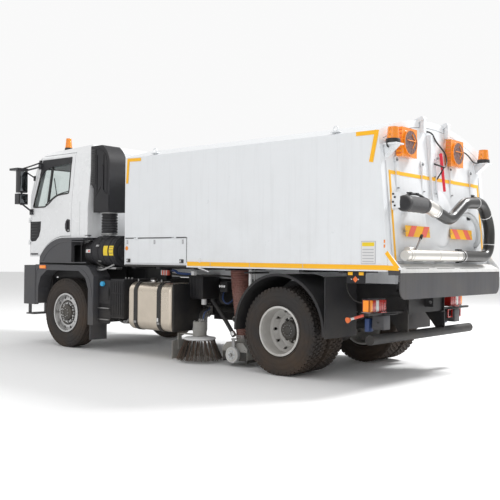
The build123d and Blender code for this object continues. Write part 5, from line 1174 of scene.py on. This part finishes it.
# Roof gutters, seams and the rear wall's ribs
shape = Shape()
for _ in shape.both_sides():
    shape.hose((cab_point(cab_back_x + 0.1, 2.975, -0.055), cab_point(f + 0.1, 2.975, -0.055),
                cab_point(f + 0.6, 2.965, -0.05)), 0.006, black_rubber, 8)
    shape.block((cab_back_x + 0.19, 1.2155, 1.95), (0.006, 0.003, 0.5), pale_grey, 0.001)
    shape.block((cab_back_x + 0.02, 1.19, 1.69), (0.1, 0.05, 0.02), grey_trim, 0.004)
shape.blocks(white_paint, 0.004, *((cab_back_x - 0.004, y, 2.3, 0.012, 0.07, 1.1)
                                   for y in (-0.7, -0.35, 0.0, 0.35, 0.7)))
shape.block((f + 0.15, 0, 3.062), (0.62, 0.7, 0.02), dark_plastic, 0.006)
shape.block((f + 0.15, 0, 3.072), (0.54, 0.62, 0.014), cab_glass, 0.004)
shape.piece("cab_seams", "cab")

# Beacon foot
shape = Shape()
low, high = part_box("cab_beacon")
centre = (low + high) / 2
reach = (high.x - low.x) / 2 + 0.002
shape.turned(((reach - 0.006, 0.0), (reach + 0.003, 0.0), (reach + 0.004, 0.008), (reach, 0.04),
              (reach - 0.006, 0.044)), (centre.x, centre.y, low.z - 0.002), up, black_plastic, 36,
             closed=True)
shape.piece("cab_beacon_foot", "cab")

# Arch trim: a rolled lip and its fold line
shape = Shape()
for _ in shape.both_sides():
    for y, radius, line in (
            (1.243, 0.009, ((-0.58, 1.29), (-0.3, 1.285), (0.1, 1.285), (0.55, 1.29))),
            (1.244, 0.007, ((-0.5, 1.6), (-0.1, 1.61), (0.1, 1.585), (0.3, 1.5), (0.44, 1.4), (0.5, 1.31)))):
        shape.hose([(f + x, y, z) for x, z in line], radius, grey_trim, 8)
    shape.block((f - 0.46, 1.245, 1.45), (0.01, 0.008, 0.3), black_plastic, 0.002)
shape.piece("arch_trim_lips", "cab")

# Snorkel: louvres, stepped relief, edges and pleated bellows
shape = Shape()
snorkel_y = 1.18
bellows_x, bellows_y = 1.516, 1.02
shape.block((1.705, snorkel_y + 0.002, 2.7), (0.115, 0.006, 0.52), black_plastic, 0.002)
for step in range(15):
    shape.block((1.705, snorkel_y + 0.007, 2.465 + 0.034 * step), (0.105, 0.008, 0.012), black_plastic, 0.002,
                about("X", 25))
shape.blocks(black_plastic, 0.002, *((1.768, 1.02, 2.48 + 0.034 * step, 0.006, 0.28, 0.014)
                                     for step in range(14)))
for radius, line in (
        (0.011, ((1.5, 2.72), (1.5, 2.6), (1.5, 2.5), (1.51, 2.43), (1.56, 2.37), (1.62, 2.3), (1.66, 2.26))),
        (0.007, ((1.64, 2.97), (1.55, 2.955), (1.46, 2.9), (1.41, 2.82), (1.395, 2.7), (1.395, 2.4),
                 (1.395, 2.12))),
        (0.008, ((1.46, 2.1), (1.43, 2.14), (1.42, 2.24), (1.44, 2.3), (1.475, 2.34)))):
    shape.hose([(x, snorkel_y + 0.001, z) for x, z in line], radius, dark_plastic, 8)
shape.flank([(1.345, 2.05), (1.5, 2.05), (1.66, 2.05), (1.66, 2.24), (1.52, 2.38), (1.5, 2.7), (1.47, 2.7),
             (1.47, 2.36), (1.42, 2.3), (1.345, 2.28)], snorkel_y, 0.008, dark_plastic, 0.003)
for step in range(8):
    shape.turned(((0.1, -0.012), (0.118, -0.003), (0.118, 0.003), (0.1, 0.012)),
                 (bellows_x, bellows_y, 1.735 + 0.037 * step), up, grey_trim, 44, closed=True)
for z in (1.712, 2.02):
    shape.ring(0.112, 0.121, 0.008, (bellows_x, bellows_y, z), up, steel_dull)
shape.piece("snorkel_relief", "cab")

# Air cleaner: bands, clips and blank labels
shape = Shape()
drum_y, drum_z = 0.985, 1.46
inlet_z = drum_z - 0.017


def drum_label(x_low, x_high, low_turn, high_turn, finish, lift=0.0, radius=0.2262, z=drum_z):
    """A curved label round the drum or its inlet, between two turns above the horizontal."""
    turns = [math.radians(low_turn + (high_turn - low_turn) * step / 8) for step in range(9)]
    arc = [((radius + 0.0015 + lift) * math.cos(turn), (radius + 0.0015 + lift) * math.sin(turn))
           for turn in turns]
    arc += [((radius - 0.001) * math.cos(turn), (radius - 0.001) * math.sin(turn)) for turn in turns[::-1]]
    shape.plate(arc, x_high - x_low, facing(outward, up, (x_low, drum_y, z)), finish)


for x in (1.376, 1.25):
    drum_label(x - 0.047, x + 0.047, -16, 20, label_yellow)
for turn in (-8, 4, 13):
    drum_label(1.212, 1.288, turn, turn + 2, bristle_worn, 0.0006)
drum_label(1.742, 1.884, -2, 14, label_white, 0, 0.178, inlet_z)
drum_label(1.79, 1.83, 2, 10, tape_red, 0.0008, 0.178, inlet_z)
shape.ring(0.172, 0.184, 0.008, (1.89, drum_y, inlet_z), ahead, black_rubber, 64)
for x in (1.2, 1.24, 1.46, 1.56, 1.71):
    shape.turned(((0.216, -0.01), (0.2255, -0.008), (0.2255, 0.008), (0.216, 0.01)), (x, drum_y, drum_z),
                 ahead, dark_plastic, 64, closed=True)
for turn in range(20, 380, 60):
    angle = math.radians(turn)
    place = (1.56, drum_y + 0.229 * math.cos(angle), drum_z + 0.229 * math.sin(angle))
    shape.block(place, (0.07, 0.012, 0.03), steel_dull, 0.003, about("X", turn))
shape.hose(((1.62, 1.02, 1.66), (1.66, 1.06, 1.6), (1.7, 1.1, 1.5), (1.7, 1.12, 1.35), (1.62, 1.12, 1.26),
            (1.5, 1.1, 1.22)), 0.018, black_rubber)
shape.hose(((1.3, 1.1, 1.27), (1.42, 1.16, 1.2), (1.56, 1.17, 1.18), (1.68, 1.12, 1.2), (1.72, 1.02, 1.26)),
           0.014, steel_dull)
shape.block((1.456, 1.05, 1.215), (0.4, 0.12, 0.03), steel_dull, 0.005)
shape.piece("air_cleaner_fittings", "chassis")

# Wheel-house inner liner, dark plates that paint the shade in the wheel house above and ahead of the front
# tyre, and side boxes with their caps, steps and ribs
shape = Shape()
for _ in shape.both_sides():
    shape.block((2.505, 0.578, 0.9), (1.71, 0.012, 0.66), black_frame, 0.004)
    # Dark plates at the tyre's outer side: painted shade for the shadow inside the wheel house
    for corners in ([(1.88, 1.06), (2.9, 1.06), (2.86, 1.33), (2.55, 1.4), (2.31, 1.56), (1.88, 1.6)],
                    [(2.895, 0.75), (3.26, 0.75), (3.26, 1.32), (2.855, 1.33)]):
        shape.flank(corners, 1.014, 0.012, black_frame)
    shape.turned(((0, 0.04), (0.03, 0.038), (0.036, 0.03), (0.036, 0.0), (0, 0)), (1.47, 1.16, 0.985),
                 outward, cap_blue, 28)
    for z in (0.635, 0.47):
        shape.block((1.441, 1.172, z), (0.25, 0.03, 0.016), steel_dull, 0.004)
        shape.block((1.441, 1.158, z - 0.03), (0.26, 0.012, 0.04), dark_plastic, 0.004)
    shape.block((1.441, 1.163, 0.85), (0.2, 0.01, 0.2), dark_plastic, 0.006)
    shape.blocks(dark_plastic, 0.004, *((1.06 + 0.048 * step, 1.165, 0.78, 0.014, 0.014, 0.5)
                                        for step in range(5)))
    shape.blocks(dark_plastic, 0.003, *((1.156, 1.164, z, 0.27, 0.012, 0.014) for z in (0.54, 0.86, 1.02)))
    for step in range(3):
        shape.pin((1.08 + 0.07 * step, 0.95, 1.06), 0.025 * up, 0.014, steel_dull, 6)
    # Small steel parts under the boxes
    shape.hose(((1.3, 1.0, 0.47), (1.2, 1.02, 0.43), (1.1, 1.03, 0.44), (1.05, 1.02, 0.5)), 0.016, steel_dull)
    shape.block((1.12, 1.0, 0.445), (0.07, 0.06, 0.05), steel_dull, 0.006)
    # Marker on the mudguard and its rolled edge
    shape.block((2.85, 1.247, 1.213), (0.17, 0.012, 0.055), orange_plastic, 0.005)
    shape.block((2.85, 1.25, 1.213), (0.15, 0.008, 0.038), amber_lens, 0.003)
    edge = ((0.69, 0.66), (0.69, 1.0), (0.665, 1.2), (0.45, 1.245), (-0.3, 1.245), (-0.6, 1.14), (-0.72, 0.9),
            (-0.735, 0.56))
    shape.hose([(f + x, 1.243, z) for x, z in edge], 0.008, grey_trim, 8)
shape.piece("side_box_fittings", "chassis")

# Fuel tank: dark end plate, filler, small steel blocks and pins, tag and sender
shape = Shape()
tank_x = 0.491
shape.block((0.036, 0.845, 0.7), (0.034, 0.6, 0.64), black_frame, 0.015)
shape.pin((tank_x + 0.18, 0.9, 1.02), 0.04 * up, 0.052, chrome, 32, bevel=0.004)
shape.turned(((0, 0.03), (0.04, 0.028), (0.048, 0.02), (0.048, 0), (0, 0)), (tank_x + 0.18, 0.9, 1.06), up,
             black_plastic, 32)
shape.pin((tank_x - 0.08, 0.86, 1.02), 0.025 * up, 0.035, steel_dull, 24, bevel=0.003)
shape.hose(((tank_x - 0.08, 0.86, 1.045), (tank_x - 0.09, 0.84, 1.08), (tank_x - 0.2, 0.72, 1.09),
            (tank_x - 0.3, 0.55, 1.06)), 0.008, black_rubber, 8)
for x in (-0.21, 0.26):
    shape.block((tank_x + x, 1.178, 0.48), (0.05, 0.012, 0.03), steel_dull, 0.003)
    shape.pin((tank_x + x, 1.12, 1.04), 0.035 * up, 0.009, steel_dull, 8)
shape.block((tank_x - 0.2, 1.183, 0.53), (0.03, 0.006, 0.05), label_white, 0.002)
shape.piece("fuel_tank_fittings", "chassis")

# Pipes, connectors and boxes hung under the hopper's front half
shape = Shape()
for _ in shape.both_sides():
    for step in range(6):
        finish = label_white if step % 2 else tape_red
        shape.block((0.38 + 0.024 * step, 0.9, 1.165), (0.017, 0.05, 0.07), finish, 0.004)
    shape.block((0.44, 0.86, 1.19), (0.2, 0.05, 0.03), black_plastic, 0.005)
    shape.hose(((0.3, 0.9, 1.2), (0.22, 0.92, 1.2), (0.18, 0.93, 1.17), (0.11, 0.9, 1.16), (0.02, 0.8, 1.15),
                (-0.1, 0.6, 1.1)), 0.017, blue_plastic)
    shape.hose(((0.56, 0.85, 1.17), (0.3, 0.84, 1.14), (0.0, 0.84, 1.13), (-0.4, 0.82, 1.15),
                (-0.7, 0.6, 1.12)), 0.013, black_rubber, 8)
    shape.block((-0.113, 0.9, 1.17), (0.06, 0.06, 0.06), label_white, 0.01)
    shape.pin((-0.165, 0.75, 0.74), 0.18 * up, 0.036, label_white, 28, bevel=0.006)
    shape.pin((-0.165, 0.75, 0.92), 0.025 * up, 0.03, black_plastic, 24, bevel=0.004)
    shape.block((-0.165, 0.6, 0.93), (0.04, 0.33, 0.02), black_frame, 0.003)
    shape.block((-0.08, 0.66, 0.98), (0.27, 0.34, 0.32), black_frame, 0.012)
    shape.blocks(dark_plastic, 0.002, *((-0.17 + 0.06 * step, 0.832, 0.98, 0.02, 0.006, 0.26)
                                        for step in range(4)))
    shape.pin((-1.287, 1.1, 0.98), 0.26 * up, 0.022, label_white, 20, bevel=0.003)
    shape.pin((-1.335, 1.08, 1.0), 0.24 * up, 0.01, steel_dull, 14)
    shape.block((-1.3, 1.0, 1.2), (0.16, 0.3, 0.02), black_frame, 0.004)
    # Loose run of hoses between the pump and the broom
    for step, finish in enumerate((black_rubber, black_rubber, blue_plastic)):
        off = 0.03 * step
        shape.hose(((-0.25 - off, 0.46, 0.98), (-0.28 - off, 0.56, 0.9), (-0.33 - off, 0.62, 0.8),
                    (-0.42 - off, 0.6, 0.74), (-0.5, 0.5, 0.78 + off)), 0.011, finish, 8)
    shape.block((-0.47, 0.62, 0.99), (0.14, 0.16, 0.14), black_frame, 0.01)
    for step in range(3):
        shape.turned(((0, 0.03), (0.016, 0.028), (0.018, 0.0), (0, 0)), (-0.51 + 0.04 * step, 0.7, 1.0),
                     outward, chrome, 16)
shape.piece("service_lines", "chassis")

# Rear corners: lamp segments, hooded brackets, marker rods, boxes and a cable
shape = Shape()
lamp_x = rear_axle_x - 1.185
lamp_z = 0.8675
for _ in shape.both_sides():
    for low, high, finish in ((1.071, 1.11, amber_lens), (1.004, 1.069, red_lens), (0.943, 1.002, white_lens),
                              (0.79, 0.941, red_lens)):
        shape.block((lamp_x - 0.004, (low + high) / 2, lamp_z), (0.03, high - low, 0.127), finish, 0.005)
    shape.blocks(red_lens, 0.001, *((lamp_x - 0.02, y, lamp_z, 0.004, 0.004, 0.122) for y in (0.845, 0.893)))
    shape.block((lamp_x + 0.045, 1.113, lamp_z), (0.07, 0.01, 0.125), amber_lens, 0.003)
    shape.block((lamp_x + 0.045, 0.95, 0.9405), (0.11, 0.335, 0.01), black_frame, 0.003)
    shape.block((lamp_x + 0.045, 0.95, 0.7955), (0.11, 0.335, 0.008), steel_dull, 0.003)
    # Marker lamp on its rubber rod
    shape.rod((-2.86, 1.0, 0.757), (-2.82, 1.15, 0.728), 0.017, tape_red, 16, 0.014)
    shape.rod((-2.82, 1.15, 0.728), (-2.806, 1.2, 0.718), 0.014, label_white)
    shape.rod((-2.806, 1.2, 0.718), (-2.795, 1.24, 0.71), 0.02, orange_plastic, 20, 0.034, 0.004)
    shape.block((-2.87, 0.9, 0.757), (0.04, 0.24, 0.03), black_frame, 0.004)
    shape.block((-2.863, 0.9, 0.645), (0.06, 0.1, 0.15), blue_plastic, 0.012)
    shape.block((-2.995, 0.86, 0.68), (0.15, 0.14, 0.16), grey_trim, 0.008)
    shape.pin((-3.0, 0.93, 0.68), 0.008 * outward, 0.012, black_plastic, 12)
    shape.block((-2.93, 0.78, 0.77), (0.3, 0.3, 0.012), black_frame, 0.003)
    # Cable that runs down to the lamps
    shape.hose(((-2.62, 1.0, 1.1), (-2.66, 1.02, 1.0), (-2.72, 1.0, 0.92), (-2.8, 0.94, 0.88),
                (-2.95, 0.9, 0.88)), 0.008, black_rubber, 8)
shape.piece("rear_corner_fittings", "chassis")

# Reflector boards, and cross bearers under the hopper's floor
shape = Shape()
for _ in shape.both_sides():
    shape.block((-2.88, 1.2, 1.19), (0.24, 0.012, 0.15), black_frame, 0.004)
    shape.blocks(tape_yellow, 0.001, *((x, 1.2065, 1.222, 0.06, 0.003, 0.035) for x in (-2.81, -2.95)))
    shape.block((-2.876, 1.2065, 1.16), (0.05, 0.003, 0.05), orange_plastic, 0.001, about("Y", 45))
    for x in (-2.92, -2.83):
        shape.pin((x, 1.2065, 1.16), 0.0075 * outward, 0.008, chrome, 10)
    shape.blocks(black_frame, 0.004, *((x, 0.86, 1.245, 0.07, 0.72, 0.045)
                                       for x in (-2.7, -2.15, -1.0, -0.45, 0.25, 0.75)))
shape.piece("hopper_underside", "hopper")

# Headlamps' bowls and bulbs, and the bumper's grille
shape = Shape()
x = bumper_front_x - 0.075
for _ in shape.both_sides():
    for y in (0.9, 1.03):
        shape.turned(((0.0, -0.05), (0.03, -0.045), (0.055, -0.01), (0.062, 0.0), (0.066, 0.0),
                      (0.056, -0.02), (0.03, -0.052), (0.0, -0.056)), (x + 0.04, y, 0.91), ahead, chrome, 32)
        shape.turned(((0, 0.008), (0.012, 0.006), (0.016, 0), (0, -0.01)), (x + 0.01, y, 0.91), ahead,
                     white_lens, 20)
    shape.block((3.4, 1.0, 0.64), (0.1, 0.24, 0.012), steel_dull, 0.003)
for z in (0.757, 0.92, 1.082):
    shape.blocks(dark_plastic, 0.002, *((3.474, -0.6 + 0.08 * step, z, 0.012, 0.01, 0.05)
                                        for step in range(16)))
shape.piece("bumper_fittings", "chassis")


# Floor, camera and lights


def show(name, data, place):
    """An object of the studio at its place."""
    made = bpy.data.objects.new(name, data)
    made.matrix_world = place
    bpy.context.scene.collection.objects.link(made)
    return made


floor_mesh = bmesh.new()
bmesh.ops.create_circle(floor_mesh, cap_ends=True, segments=96, radius=60.0)
floor_data = bpy.data.meshes.new("floor")
floor_mesh.to_mesh(floor_data)
floor_mesh.free()
floor_data.materials.append(pale_floor)
floor = show("floor", floor_data, Matrix.Translation((0, 0, -0.002)))

yaw, pitch, roll = math.radians(-48.95), math.radians(0.61), math.radians(0.56)
view = Vector((math.cos(yaw) * math.cos(pitch), math.sin(yaw) * math.cos(pitch), math.sin(pitch)))
level = view.cross(up).normalized()
upright = level.cross(view)
right = math.cos(roll) * level + math.sin(roll) * upright
above = math.cos(roll) * upright - math.sin(roll) * level
camera_data = bpy.data.cameras.new("camera")
camera_data.lens = 56.82
camera_data.sensor_width = 36
camera_data.shift_x = 0.0174
camera_data.shift_y = -0.0008
camera_data.clip_end = 300
turn = Matrix((right, above, -view)).transposed().to_4x4()
camera = show("camera", camera_data, Matrix.Translation((-7.584, 8.51, 1.38)) @ turn)
bpy.context.scene.camera = camera

for name, place, aim, size, power in (
        ("sun_panel", (-7.0, -9.0, 12.0), (0, 0, 1.2), 3.5, 2300),
        ("top_panel", (0.0, 0.0, 12.0), (0, 0, 0), 14.0, 250),
        ("camera_panel", (-5.0, 14.0, 6.5), (0, 0, 1.5), 10.0, 250),
        ("front_panel", (13.0, 4.0, 7.0), (2, 0, 1.4), 7.0, 120)):
    data = bpy.data.lights.new(name, "AREA")
    data.shape = "DISK"
    data.size = size
    data.energy = power
    turn = (Vector(aim) - Vector(place)).to_track_quat("-Z", "Y").to_matrix().to_4x4()
    show(name, data, Matrix.Translation(place) @ turn)

world = bpy.data.worlds.new("studio")
world.use_nodes = True
background = world.node_tree.nodes["Background"]
background.inputs["Color"].default_value = (1, 1, 1, 1)
seen = add_node(world.node_tree, "LightPath").outputs["Is Camera Ray"]
feed(world.node_tree, background, Strength=remap(world.node_tree, seen, 0.0, 1.0, 0.72, 0.95))
bpy.context.scene.world = world
bpy.context.scene.view_settings.view_transform = "Standard"
